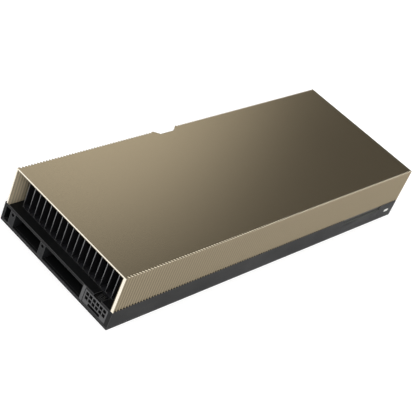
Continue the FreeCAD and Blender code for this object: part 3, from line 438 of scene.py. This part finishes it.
def facing_inward(made):
    """1 on the shroud's inside faces: those that look towards the card's middle line, or down."""
    side = made.math("SIGN", made.math("SUBTRACT", made.axis(made.place, "Y"), SHROUD_MIDDLE_Y))
    inward = made.below(made.math("MULTIPLY", made.axis(made.facing, "Y"), side), -INWARD_TURNED)
    down = made.below(made.axis(made.facing, "Z"), -HALF_TURNED)
    return made.math("MAXIMUM", inward, down)


def satin_black(name, tone, sizes, roughness=0.44, grain_scale=1900.0, edge=None, gloss=SATIN_GLOSS):
    """Fine powder coat: leathery grain, slightly uneven gloss, edges that catch the light."""
    made = Finish(name, Specular_IOR_Level=gloss)
    grain = made.noise(grain_scale, 3.0, roughness=0.6)
    slow = made.noise(45.0, 3.0)
    made.base(made.blend(made.span(slow, 0.3, 0.7, 0.0, 1.0), shade(tone, 0.85), shade(tone, 1.2)))
    made.roughness(made.span(slow, 0.3, 0.7, roughness - 0.04, roughness + 0.06))
    made.relief(grain, 0.03 * MM, sizes.edge if edge is None else edge, 0.5)
    return made


def printed_frame(look, sizes):
    """The frame's coat with one plain pale mark printed on its link side, painted light on the back of the
    step and on the post beside the header, and edges paler with worn coat and a painted highlight.
    """
    made = satin_black("frame_coat", look.frame_black, sizes)
    link_face = made.below(made.axis(made.place, "Y"), FRAME_LOW.y + SKIN)
    # painted light: the back of the step is made paler than the coat
    step = made.product(link_step_painted_light(made), made.without(link_face))
    with_painted_step_light = made.blend(step, made.base_so_far(), STEP_PAINTED_LIGHT)
    # painted light: the end face of the post beside the header is made paler
    with_painted_light = made.blend(header_post_painted_light(made), with_painted_step_light, HEADER_FACE_PAINTED_LIGHT)
    made.base(made.blend(made.product(pill_mark(made, sizes), link_face), with_painted_light, PRINT_WHITE))
    made.wear_and_highlight(EDGE_WEAR_AND_HIGHLIGHT, sizes.wear_and_highlight)
    return made.material


def pill_mark(made, sizes):
    """1 within half the mark's height of a short line along the frame, which makes a pill."""
    half_line = (sizes.mark_length - sizes.mark_height) / 2
    along = made.math("SUBTRACT", made.axis(made.place, "X"), FRAME_HIGH.x - MARK_FROM_BRACKET)
    past = made.math("MAXIMUM", made.math("SUBTRACT", made.math("ABSOLUTE", along), half_line), 0.0)
    rise = made.math("SUBTRACT", made.axis(made.place, "Z"), MARK_RISE)
    square = made.math("ADD", made.math("POWER", past, 2.0), made.math("POWER", rise, 2.0))
    return made.below(made.math("SQRT", square), sizes.mark_height / 2)


def header_post_painted_light(made):
    """1 on the end face of the frame's post beside the power header, made paler by painted light, as the
    header's mouth is.
    """
    header_low, header_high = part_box("power_header")
    return made.product(
        made.between(made.axis(made.place, "Y"), header_high.y, header_high.y + HEADER_POST_REACH),
        made.between(made.axis(made.place, "Z"), header_low.z, header_high.z),
        made.below(made.axis(made.place, "X"), FRAME_LOW.x + SKIN))


def link_step_painted_light(made):
    """1 on the back of the step over the link cover, made paler than the coat by painted light."""
    cover_low, cover_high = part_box("link_cover")
    return made.product(
        made.between(made.axis(made.place, "X"), cover_low.x - STEP_PAST, cover_high.x + STEP_PAST),
        made.below(made.axis(made.place, "Y"), FRAME_LOW.y + STEP_REACH),
        made.above(made.axis(made.place, "Z"), cover_high.z))


def black_fin(look):
    """Blackened fin: fine rolling lines along it, bare grey where the shear cut its ends."""
    made = Finish("fin_coat", Metallic=0.35, Specular_IOR_Level=0.4)
    lines = made.noise(90.0, 4.0, stretch=(1.0, 30.0, 30.0))
    cut = made.ends(FINS_LOW.x, FINS_HIGH.x)
    body = made.blend(lines, shade(look.fin_black, 0.8), shade(look.fin_black, 1.3))
    made.base(made.blend(cut, body, FIN_CUT))
    made.metallic(made.span(cut, 0.0, 1.0, 0.35, 1.0))
    made.roughness(made.span(lines, 0.2, 0.8, 0.42, 0.55))
    made.relief(lines, 0.01 * MM, 0.0, 0.4)
    return made.material


def solder_mask(look):
    """Glossy mask over copper: faint traces, small plated dots, laminate on the cut edges."""
    made = Finish("board_mask", Specular_IOR_Level=0.6)
    across = made.axis(made.place, "Y")
    wander = made.math("MULTIPLY", made.noise(55.0, 0.0), TRACE_WANDER)
    bands = made.math("PINGPONG", made.math("ADD", across, wander), TRACE_SPACING)
    trace = made.span(bands, TRACE_FROM, TRACE_TO, 0.0, 1.0, True)
    areas = made.span(made.noise(70.0, 1.0), 0.47, 0.50, 0.0, 1.0, True)
    copper = made.product(trace, areas)
    mask = made.blend(copper, look.mask, shade(look.mask, 2.1))
    dots = made.below(made.spots(330.0), 0.085)
    face = made.blend(dots, mask, VIA_TIN)
    edge = made.upright_faces()
    made.base(made.blend(edge, face, look.laminate))
    made.roughness(made.span(edge, 0.0, 1.0, 0.24, 0.75))
    made.relief(copper, 0.03 * MM, 0.0, 0.6)
    return made.material


def gold_plate(look):
    """Hard gold over nickel, with fine wipe marks in the direction of insertion."""
    made = Finish("contact_plate", Metallic=1.0)
    wipes = made.noise(260.0, 4.0, stretch=(16.0, 1.0, 1.0))
    made.base(made.blend(wipes, shade(look.plating, 0.9), shade(look.plating, 1.1)))
    made.roughness(made.span(wipes, 0.3, 0.7, 0.18, 0.32))
    made.relief(wipes, 0.004 * MM, 0.0, 0.4)
    return made.material


def moulding(name, tone, roughness=0.5):
    """Glass-filled moulding: fine spark texture and faint flow."""
    made = Finish(name, Specular_IOR_Level=MOULDED_GLOSS)
    spark = made.noise(2300.0, 2.0)
    flow = made.noise(70.0, 3.0, stretch=(1.0, 3.0, 3.0))
    made.base(made.blend(flow, shade(tone, 0.8), shade(tone, 1.25)))
    made.roughness(made.span(flow, 0.3, 0.7, roughness - 0.05, roughness + 0.08))
    made.relief(spark, 0.015 * MM, 0.12 * MM, 0.5)
    return made


def cover_moulding(look):
    """The moulding, with its top painted paler as lit, where it closes the frame's step."""
    made = moulding("link_cover_black", look.moulded, 0.46)
    # painted light: faces that look up are made paler
    top = made.above(made.axis(made.facing, "Z"), HALF_TURNED)
    made.base(made.blend(top, made.base_so_far(), STEP_PAINTED_LIGHT))
    return made.material


def header_moulding(look, sizes):
    """The moulding, with painted light making its mouth paler than the depth of its cells, and edges paler
    with worn coat and a painted highlight.
    """
    made = moulding("header_black", look.moulded, 0.44)
    mouth = made.below(made.axis(made.place, "X"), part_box("power_header")[0].x + MOUTH_DEPTH)
    # painted light: the mouth of the header is made paler than its cells
    made.base(made.blend(mouth, made.base_so_far(), HEADER_FACE_PAINTED_LIGHT))
    made.wear_and_highlight(EDGE_WEAR_AND_HIGHLIGHT, sizes.wear_and_highlight / 2)
    return made.material


def bright_metal(name, tone, roughness, stretch, depth=0.006 * MM):
    """Drawn or ground metal: fine lines along one way and a slow change of gloss."""
    made = Finish(name, Metallic=1.0)
    lines = made.noise(420.0, 4.0, stretch=stretch)
    slow = made.noise(60.0, 2.0)
    made.base(made.blend(lines, shade(tone, 0.86), shade(tone, 1.1)))
    made.roughness(made.span(slow, 0.3, 0.7, roughness - 0.04, roughness + 0.08))
    made.relief(lines, depth, 0.1 * MM, 0.5)
    return made.material


def soft_pad(name, tone, grain_scale=700.0):
    """Filled silicone: matt, faintly dimpled."""
    made = Finish(name, Specular_IOR_Level=0.3)
    dimples = made.noise(grain_scale, 3.0)
    made.base(made.blend(dimples, shade(tone, 0.85), shade(tone, 1.12)))
    made.roughness(made.span(dimples, 0.3, 0.7, 0.66, 0.8))
    made.relief(dimples, 0.04 * MM, 0.0, 0.6)
    return made.material


def package_laminate(name, tone):
    """Thin build-up laminate under resist, with a fine weave."""
    made = Finish(name, Specular_IOR_Level=0.5)
    warp = made.noise(900.0, 1.0, stretch=(1.0, 8.0, 1.0))
    weft = made.noise(900.0, 1.0, stretch=(8.0, 1.0, 1.0))
    weave = made.math("MULTIPLY", made.math("ADD", warp, weft), 0.5)
    made.base(made.blend(weave, shade(tone, 0.8), shade(tone, 1.25)))
    made.roughness(made.span(weave, 0.3, 0.7, 0.3, 0.42))
    made.relief(weave, 0.006 * MM, 0.0, 0.5)
    return made.material


def powder_core(name, tone):
    """Pressed iron powder: dark grey with lighter specks."""
    made = Finish(name, Metallic=0.2)
    specks = made.span(made.spots(1500.0), 0.0, 0.35, 1.0, 0.0)
    made.base(made.blend(specks, tone, shade(tone, 2.3)))
    made.roughness(made.span(specks, 0.0, 1.0, 0.62, 0.45))
    made.relief(specks, 0.02 * MM, 0.15 * MM, 0.5)
    return made.material


# ---- new pieces ----
THREAD_FOOT, THREAD_CREST = 0.42, 0.12   # half widths of the ridge, in pitches
THREAD_START = 0.75                      # mouth to the first ridge, in pitches
THREAD_SINK = 0.02 * MM                  # depth of the ridge's feet in the wall
THREAD_LEAST = 0.02                      # height left at its two ends, as a share

CHIP_CAP = 0.22                          # end cap, as a share of the chip's length
CHIP_LIFT, CHIP_TOP = 0.03 * MM, 0.45 * MM
CAP_PROUD, CAP_TOP = 0.02 * MM, 0.48 * MM
CHIPS_KEPT, CHIPS_ACROSS = 0.62, 0.4     # shares of the places
CHIP_DRIFT = 0.15                        # furthest from its place, in millimetres
CHIP_PITCH = 2.7 * MM                    # along the card
CHIP_CLEAR = 2.0 * MM                    # to the taller parts beside them
REAR_EDGE, REAR_ROWS, REAR_SEED = 2.2 * MM, 2.3 * MM, 11
REAR_FROM_HEADER, REAR_FROM_SLOT = 3.0 * MM, 10.5 * MM
BRACKET_EDGE, BRACKET_ROWS, BRACKET_SEED = 7.5 * MM, 2.4 * MM, 23
BRACKET_FROM_SIDES = 17.0 * MM

BLOCK_FACES = np.array([[3, 2, 1, 0], [4, 5, 6, 7], [0, 1, 5, 4], [1, 2, 6, 5], [2, 3, 7, 6], [3, 0, 4, 7]])


def grid_faces(rows, columns, flip=False):
    """Quads of a grid that is closed across its columns, and the rings at its two ends."""
    row, column = np.meshgrid(np.arange(rows - 1), np.arange(columns), indexing="ij")
    following = (column + 1) % columns
    quads = np.stack(
        [row * columns + column, row * columns + following,
         (row + 1) * columns + following, (row + 1) * columns + column], axis=-1).reshape(-1, 4)
    first = np.arange(columns)[::-1]
    last = (rows - 1) * columns + np.arange(columns)
    if flip:
        return quads[:, ::-1], first[::-1], last[::-1]
    return quads, first, last


def add_object(name, points, faces, material):
    """Object at the origin, with its mesh from arrays and one material."""
    mesh = bpy.data.meshes.new(name)
    mesh.from_pydata(points.tolist(), [], [face.tolist() for face in faces])
    mesh.materials.append(material)
    mesh.validate()
    made = bpy.data.objects.new(name, mesh)
    bpy.context.scene.collection.objects.link(made)
    return made


def add_piece(name, points, faces, material):
    """Object that rides on the card and takes the slot's finish."""
    piece = add_object(name, points, faces, material)
    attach(piece, BODY)
    return piece


def thread_ridge(mouth, inward, radius, depth, sizes):
    """Helical ridge on the wall of a tapped hole along X, as rings of four points.

    At angle t the ridge's middle lies pitch * t / (2 * pi) past its start. Its section
    is a trapezium: feet just inside the wall, crest in by the thread's height times
    h(t), where h rises to 1 over the first half turn and falls over the last.
    """
    turns = depth / sizes.thread_pitch - 2 * THREAD_START
    rings = int(turns * sizes.thread_steps) + 1
    angle = np.linspace(0.0, turns * 2 * np.pi, rings)[:, None]
    height = np.clip(np.minimum(angle, angle[-1] - angle) / np.pi, THREAD_LEAST, 1.0) * sizes.thread_height
    inset = np.array([[0.0, 1.0, 1.0, 0.0]])
    along = np.array([[-THREAD_FOOT, -THREAD_CREST, THREAD_CREST, THREAD_FOOT]]) * sizes.thread_pitch
    radial = radius + THREAD_SINK - inset * (height + THREAD_SINK)
    forward = THREAD_START * sizes.thread_pitch + angle * sizes.thread_pitch / (2 * np.pi) + along
    x = mouth.x + inward * forward
    y = mouth.y + radial * np.cos(angle)
    z = mouth.z + radial * np.sin(angle)
    return np.stack([x, y, z], axis=-1)


def block_points(x0, x1, half, z0, z1):
    """Eight corners of a block, its lower ring first."""
    ring = np.array([[x0, -half], [x1, -half], [x1, half], [x0, half]])
    low = np.column_stack([ring, np.full(4, z0)])
    high = np.column_stack([ring, np.full(4, z1)])
    return np.concatenate([low, high])


def chip_template(sizes):
    """Chip part about the origin: a body with a raised end cap on each end, as three blocks."""
    span = sizes.chip_length / 2
    half = sizes.chip_width / 2
    cap = CHIP_CAP * sizes.chip_length
    near = block_points(-span, -span + cap, half + CAP_PROUD, 0.0, CAP_TOP)
    body = block_points(-span + cap, span - cap, half, CHIP_LIFT, CHIP_TOP)
    far = block_points(span - cap, span, half + CAP_PROUD, 0.0, CAP_TOP)
    return np.concatenate([near, body, far])


def chip_places(x_range, y_range, pitch_y, seed):
    """Places of chip parts on a loose grid, with some left out, and which lie across the card."""
    chooser = np.random.default_rng(seed)
    x, y = np.meshgrid(np.arange(*x_range, CHIP_PITCH), np.arange(*y_range, pitch_y), indexing="ij")
    spots = np.column_stack([x.ravel(), y.ravel()])
    spots = spots[chooser.random(len(spots)) < CHIPS_KEPT]
    spots += chooser.uniform(-CHIP_DRIFT, CHIP_DRIFT, spots.shape) * MM
    return spots, chooser.random(len(spots)) < CHIPS_ACROSS


def chip_finish():
    """Sintered body with tinned end caps, told apart by the faces' end_cap attribute."""
    made = Finish("chip_part")
    cap = made.node("Attribute", {}, attribute_name="end_cap").outputs["Fac"]
    grain = made.noise(1800.0, 2.0)
    body = made.blend(grain, shade(CERAMIC, 0.8), shade(CERAMIC, 1.2))
    made.base(made.blend(cap, body, CAP_TIN))
    made.metallic(cap)
    made.roughness(made.span(cap, 0.0, 1.0, 0.55, 0.34))
    made.relief(grain, 0.01 * MM, 0.0, 0.4)
    return made.material


def add_chips(name, placed, part, top, material):
    """One mesh of all the parts: each is turned a quarter where asked and moved to its place."""
    spots, across = placed
    turned = part[:, [1, 0, 2]] * np.array([-1.0, 1.0, 1.0])
    shapes = np.where(across[:, None, None], turned[None], part[None])
    moved = shapes + np.column_stack([spots, np.full(len(spots), top)])[:, None, :]
    blocks = moved.reshape(-1, 8, 3)
    faces = (BLOCK_FACES[None] + 8 * np.arange(len(blocks))[:, None, None]).reshape(-1, 4)
    piece = add_piece(name, moved.reshape(-1, 3), faces, material)
    caps = np.tile(np.repeat([1.0, 0.0, 1.0], len(BLOCK_FACES)), len(spots))
    piece.data.attributes.new("end_cap", "FLOAT", "FACE").data.foreach_set("value", caps)


# ---- operators ----
def card_operator(cls):
    """Options that every operator here shares."""
    cls.bl_options = {"REGISTER", "UNDO"}
    return cls


@card_operator
class CARD_OT_finish_shroud(bpy.types.Operator):
    """Give the ribbed shroud its satin gold with painted shade and highlights, and its bare lips, which are
    partly a painted highlight
    """

    bl_idname = "card.finish_shroud"
    bl_label = "Finish shroud"

    def execute(self, context):
        look, sizes = context.scene.card_finish, context.scene.card_sizes
        finish_nodes(satin_gold(look, sizes), "shroud")
        black = satin_black("screw_black", SCREW_BLACK, sizes, 0.38, 2600.0, 0.08 * MM)
        finish_nodes(black.material, "shroud_screws", "backplate_screws")
        return {"FINISHED"}


@card_operator
class CARD_OT_finish_frame(bpy.types.Operator):
    """Coat the base frame, its posts and the backplate"""

    bl_idname = "card.finish_frame"
    bl_label = "Finish frame and backplate"

    def execute(self, context):
        look, sizes = context.scene.card_finish, context.scene.card_sizes
        finish_nodes(printed_frame(look, sizes), "base_frame")
        # painted light: the posts take the frame's coat 3.2 times paler, standing for their lit front faces
        posts = satin_black("post_coat_painted_light", shade(look.frame_black, 3.2), sizes, 0.40)
        posts.wear_and_highlight(EDGE_WEAR_AND_HIGHLIGHT, sizes.wear_and_highlight)
        finish_nodes(posts.material, "rear_posts", "bracket_posts")
        plate = satin_black("plate_coat", look.plate_black, sizes, 0.46, 2400.0)
        plate.wear_and_highlight(EDGE_WEAR_AND_HIGHLIGHT, sizes.wear_and_highlight)
        finish_nodes(plate.material, "backplate")
        film = satin_black("film_black", FILM_BLACK, sizes, 0.3, 600.0, 0.0)
        finish_nodes(film.material, "insulating_film")
        return {"FINISHED"}


@card_operator
class CARD_OT_finish_heatsink(bpy.types.Operator):
    """Blacken the fins and base and brighten the spring plate and its screws"""

    bl_idname = "card.finish_heatsink"
    bl_label = "Finish heatsink"

    def execute(self, context):
        look, sizes = context.scene.card_finish, context.scene.card_sizes
        finish_nodes(black_fin(look), "fin_stack")
        base = satin_black("heatsink_base_coat", shade(look.fin_black, 1.3), sizes, 0.42, 900.0)
        finish_nodes(base.material, "heatsink_base")
        finish_nodes(bright_metal("bright_steel", STEEL, 0.3, (1.0, 1.0, 9.0)), "heatsink_screws")
        finish_nodes(bright_metal("spring_steel", SPRING, 0.34, (1.0, 14.0, 1.0)), "leaf_spring")
        finish_nodes(soft_pad("pad_grey", PAD_GREY), "leaf_pad", "choke_pads")
        return {"FINISHED"}


@card_operator
class CARD_OT_finish_board(bpy.types.Operator):
    """Lay solder mask, laminate edge and gold on the circuit board, and finish the link cover"""

    bl_idname = "card.finish_board"
    bl_label = "Finish circuit board"

    def execute(self, context):
        look = context.scene.card_finish
        finish_nodes(solder_mask(look), "circuit_board")
        finish_nodes(gold_plate(look), "slot_contacts", "link_contacts")
        finish_nodes(cover_moulding(look), "link_cover")
        return {"FINISHED"}


@card_operator
class CARD_OT_finish_header(bpy.types.Operator):
    """Finish the power header's housing and its tinned pins"""

    bl_idname = "card.finish_header"
    bl_label = "Finish power header"

    def execute(self, context):
        look, sizes = context.scene.card_finish, context.scene.card_sizes
        finish_nodes(header_moulding(look, sizes), "power_header")
        finish_nodes(bright_metal("pin_tin", TIN, 0.28, (1.0, 6.0, 6.0)), "power_pins", "sense_pins")
        return {"FINISHED"}


@card_operator
class CARD_OT_finish_package(bpy.types.Operator):
    """Finish the processor package: laminate, silicon, memory, ring and paste"""

    bl_idname = "card.finish_package"
    bl_label = "Finish processor package"

    def execute(self, context):
        finish_nodes(package_laminate("package_laminate", PACKAGE_GREEN), "package_substrate")
        finish_nodes(bright_metal("silicon", SILICON, 0.12, (1.0, 1.0, 1.0), 0.001 * MM), "processor_die")
        finish_nodes(moulding("memory_mould", MEMORY_GREY, 0.3).material, "memory_stacks")
        finish_nodes(bright_metal("nickel_ring", NICKEL, 0.3, (9.0, 1.0, 1.0)), "stiffener_ring")
        finish_nodes(soft_pad("paste_grey", PASTE_GREY, 1400.0), "thermal_paste")
        return {"FINISHED"}


@card_operator
class CARD_OT_finish_regulators(bpy.types.Operator):
    """Finish the chokes, power stages, capacitors and control chips"""

    bl_idname = "card.finish_regulators"
    bl_label = "Finish regulator parts"

    def execute(self, context):
        finish_nodes(powder_core("choke_core", CORE_GREY), "chokes")
        finish_nodes(moulding("chip_mould", CHIP_BLACK, 0.42).material, "power_stages", "control_chips")
        finish_nodes(moulding("capacitor_mould", CAPACITOR_BLACK, 0.5).material, "capacitors")
        return {"FINISHED"}


@card_operator
class CARD_OT_add_post_threads(bpy.types.Operator):
    """Add the ridge of a thread inside each of the four tapped posts"""

    bl_idname = "card.add_post_threads"
    bl_label = "Add post threads"

    def execute(self, context):
        sizes = context.scene.card_sizes
        # painted shade: the thread ridges are darker and less glossy than the frame's coat, so the holes read
        # as shaded
        coat = satin_black("thread_painted_shade", THREAD_PAINTED_SHADE, sizes, 0.6, 2600.0, 0.0, THREAD_GLOSS)
        for mount in frame["record"]["mounts"]:
            if mount["kind"] != "threaded_hole":
                continue
            depth = mount["dims"]["length_mm"] * MM
            radius = mount["dims"]["r_mm"] * MM
            outward = mount["axis"][0]
            mouth = Vector(mount["pos_m"]) + Vector((outward * depth / 2, 0.0, 0.0))
            rings = thread_ridge(mouth, -outward, radius, depth, sizes)
            quads, first, last = grid_faces(*rings.shape[:2], flip=outward > 0)
            name = mount["name"] + "_thread"
            add_piece(name, rings.reshape(-1, 3), [*quads, first, last], coat.material)
        return {"FINISHED"}


@card_operator
class CARD_OT_add_board_chips(bpy.types.Operator):
    """Solder small chip parts on the board behind the windows of both ends"""

    bl_idname = "card.add_board_chips"
    bl_label = "Add small chip parts"

    def execute(self, context):
        part = chip_template(context.scene.card_sizes)
        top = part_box("package_substrate")[0].z
        material = chip_finish()
        rear = chip_places(
            (BOARD_LOW.x + REAR_EDGE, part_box("capacitors")[0].x - CHIP_CLEAR),
            (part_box("power_header")[1].y + REAR_FROM_HEADER, FRAME_HIGH.y - REAR_FROM_SLOT),
            REAR_ROWS, REAR_SEED)
        bracket = chip_places(
            (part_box("control_chips")[1].x + CHIP_CLEAR, BOARD_HIGH.x - BRACKET_EDGE),
            (FRAME_LOW.y + BRACKET_FROM_SIDES, FRAME_HIGH.y - BRACKET_FROM_SIDES),
            BRACKET_ROWS, BRACKET_SEED)
        add_chips("rear_chip_parts", rear, part, top, material)
        add_chips("bracket_chip_parts", bracket, part, top, material)
        return {"FINISHED"}


# ---- studio ----
KEY_FROM = (-0.5, -0.3, 0.8)
KEY_WIDTH = math.radians(35.0)
BOX_AZIMUTH = math.radians(43.0)        # middle of the soft box, from +X towards +Y
BOX_ELEVATION = math.radians(29.5)
BOX_INNER = math.radians(2.0)           # cones about that middle
BOX_OUTER = math.radians(12.5)
FLAG_INNER = math.radians(26.0)
FLAG_OUTER = math.radians(46.0)
BOX_LEVEL = 1.95
FLAG_LEVEL = 0.22
SKY_LEVEL = 0.95
HORIZON_LEVEL = 1.0
HORIZON_LOW, HORIZON_HIGH = 0.10, 0.25  # rise of a direction, over which the horizon turns into the room
FLOOR_GAP = 0.05 * MM                   # under the backplate, so that the two never coincide
FLOOR_RINGS, FLOOR_SIDES = 23, 96
FLOOR_TONES = (0.90, 0.90, 0.90), (0.92, 0.92, 0.92)
WHITE = (1.0, 1.0, 1.0, 1.0)


def direction(azimuth, elevation):
    """Unit vector at an azimuth from +X towards +Y and an elevation above the floor."""
    level = math.cos(elevation)
    return Vector((math.cos(azimuth) * level, math.sin(azimuth) * level, math.sin(elevation)))


@card_operator
class CARD_OT_set_studio(bpy.types.Operator):
    """Lay the pale floor and set the key light, the sky and the camera"""

    bl_idname = "card.set_studio"
    bl_label = "Set studio"

    def execute(self, context):
        studio = context.scene.card_studio
        self.lay_floor(studio)
        self.set_key(studio)
        self.set_sky(context.scene)
        self.set_camera(context.scene, studio)
        context.scene.view_settings.view_transform = "Standard"
        return {"FINISHED"}

    def lay_floor(self, studio):
        """Disc in rings: radius grows by the square of the ring's share, so rings are close near the card."""
        rings = np.linspace(0.0, 1.0, FLOOR_RINGS + 1)[1:, None] ** 2 * studio.floor_radius
        turn = np.linspace(0.0, 2 * np.pi, FLOOR_SIDES, endpoint=False)[None, :]
        x = rings * np.cos(turn)
        y = rings * np.sin(turn)
        points = np.stack([x, y, np.full_like(x, PLATE_LOW.z - FLOOR_GAP)], axis=-1).reshape(-1, 3)
        quads, centre, _ = grid_faces(FLOOR_RINGS, FLOOR_SIDES, flip=True)
        made = Finish("floor_white", Specular_IOR_Level=0.0, Roughness=0.9, Emission_Color=WHITE)
        made.base(made.blend(made.noise(3.0, 2.0), *FLOOR_TONES))
        made.shader.inputs["Emission Strength"].default_value = studio.floor_glow
        add_object("floor", points, [*quads, centre], made.material)

    def set_key(self, studio):
        """Wide soft sun, high and behind the camera's left shoulder."""
        light = bpy.data.lights.new("key", "SUN")
        light.energy = studio.key
        light.angle = KEY_WIDTH
        key = bpy.data.objects.new("key", light)
        key.rotation_mode = "QUATERNION"
        key.rotation_quaternion = Vector(KEY_FROM).to_track_quat("Z", "Y")
        bpy.context.scene.collection.objects.link(key)

    def set_sky(self, scene):
        """White room; in it a dark round flag, and in the middle of that a soft box that the roof mirrors."""
        world = bpy.data.worlds.new("studio")
        world.use_nodes = True
        sky = Nodes(world.node_tree)
        heading = sky.node("TexCoord", {}).outputs["Generated"]
        middle = direction(BOX_AZIMUTH, BOX_ELEVATION)
        towards = sky.node("VectorMath", {0: heading, 1: middle}, operation="DOT_PRODUCT").outputs["Value"]
        soft_box = sky.span(towards, math.cos(BOX_OUTER), math.cos(BOX_INNER), FLAG_LEVEL, BOX_LEVEL, True)
        room = sky.span(
            towards, math.cos(FLAG_OUTER), math.cos(FLAG_INNER), SKY_LEVEL - FLAG_LEVEL, 0.0, True)
        above = sky.math("ADD", soft_box, room)
        rise = sky.span(sky.axis(heading, "Z"), HORIZON_LOW, HORIZON_HIGH, 0.0, 1.0, True)
        level = sky.node("Mix", {0: rise, 2: HORIZON_LEVEL, 3: above}, data_type="FLOAT").outputs[0]
        background = world.node_tree.nodes["Background"]
        sky.feed(background.inputs["Strength"], level)
        sky.feed(background.inputs["Color"], WHITE)
        scene.world = world

    def set_camera(self, scene, studio):
        """Camera on a line through the aim: forward is (sin a cos e, cos a cos e, -sin e), then rolled."""
        level = math.cos(studio.elevation)
        forward = Vector((
            math.sin(studio.azimuth) * level, math.cos(studio.azimuth) * level, -math.sin(studio.elevation)))
        right = forward.cross(Vector((0.0, 0.0, 1.0))).normalized()
        up = right.cross(forward)
        side = right * math.cos(studio.roll) + up * math.sin(studio.roll)
        top = side.cross(forward)
        aim = Vector((-studio.aim_rear, -studio.aim_link, SHROUD_HIGH.z / 2))
        data = bpy.data.cameras.new("camera")
        data.lens = studio.lens
        data.sensor_width = 36.0
        data.clip_start = 0.01
        data.clip_end = 50.0
        camera = bpy.data.objects.new("camera", data)
        turn = Matrix((side, top, -forward)).transposed()
        camera.matrix_world = Matrix.Translation(aim - forward * studio.distance) @ turn.to_4x4()
        scene.collection.objects.link(camera)
        scene.camera = camera


# ---- panel, registering and running ----
STEPS = (
    CARD_OT_finish_shroud,
    CARD_OT_finish_frame,
    CARD_OT_finish_heatsink,
    CARD_OT_finish_board,
    CARD_OT_finish_header,
    CARD_OT_finish_package,
    CARD_OT_finish_regulators,
    CARD_OT_add_post_threads,
    CARD_OT_add_board_chips,
    CARD_OT_set_studio,
)
GROUPS = {"card_finish": CardFinish, "card_sizes": CardSizes, "card_studio": CardStudio}


class CARD_PT_steps(bpy.types.Panel):
    """Sizes, colours and steps of the card"""

    bl_label = "Accelerator card"
    bl_idname = "CARD_PT_steps"
    bl_space_type = "VIEW_3D"
    bl_region_type = "UI"
    bl_category = "Card"

    def draw(self, context):
        for name, group in GROUPS.items():
            column = self.layout.box().column()
            for key in group.__annotations__:
                column.prop(getattr(context.scene, name), key)
        for step in STEPS:
            self.layout.operator(step.bl_idname)


def register():
    """Make the property groups, operators and panel known to Blender."""
    for cls in (*GROUPS.values(), *STEPS, CARD_PT_steps):
        bpy.utils.register_class(cls)
    for name, group in GROUPS.items():
        setattr(bpy.types.Scene, name, PointerProperty(type=group))


def unregister():
    """Take them away again."""
    for name in GROUPS:
        delattr(bpy.types.Scene, name)
    for cls in reversed((*GROUPS.values(), *STEPS, CARD_PT_steps)):
        bpy.utils.unregister_class(cls)


def main():
    """Register the add-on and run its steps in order."""
    register()
    for step in STEPS:
        group, name = step.bl_idname.split(".")
        getattr(getattr(bpy.ops, group), name)()


if __name__ == "__main__":
    main()
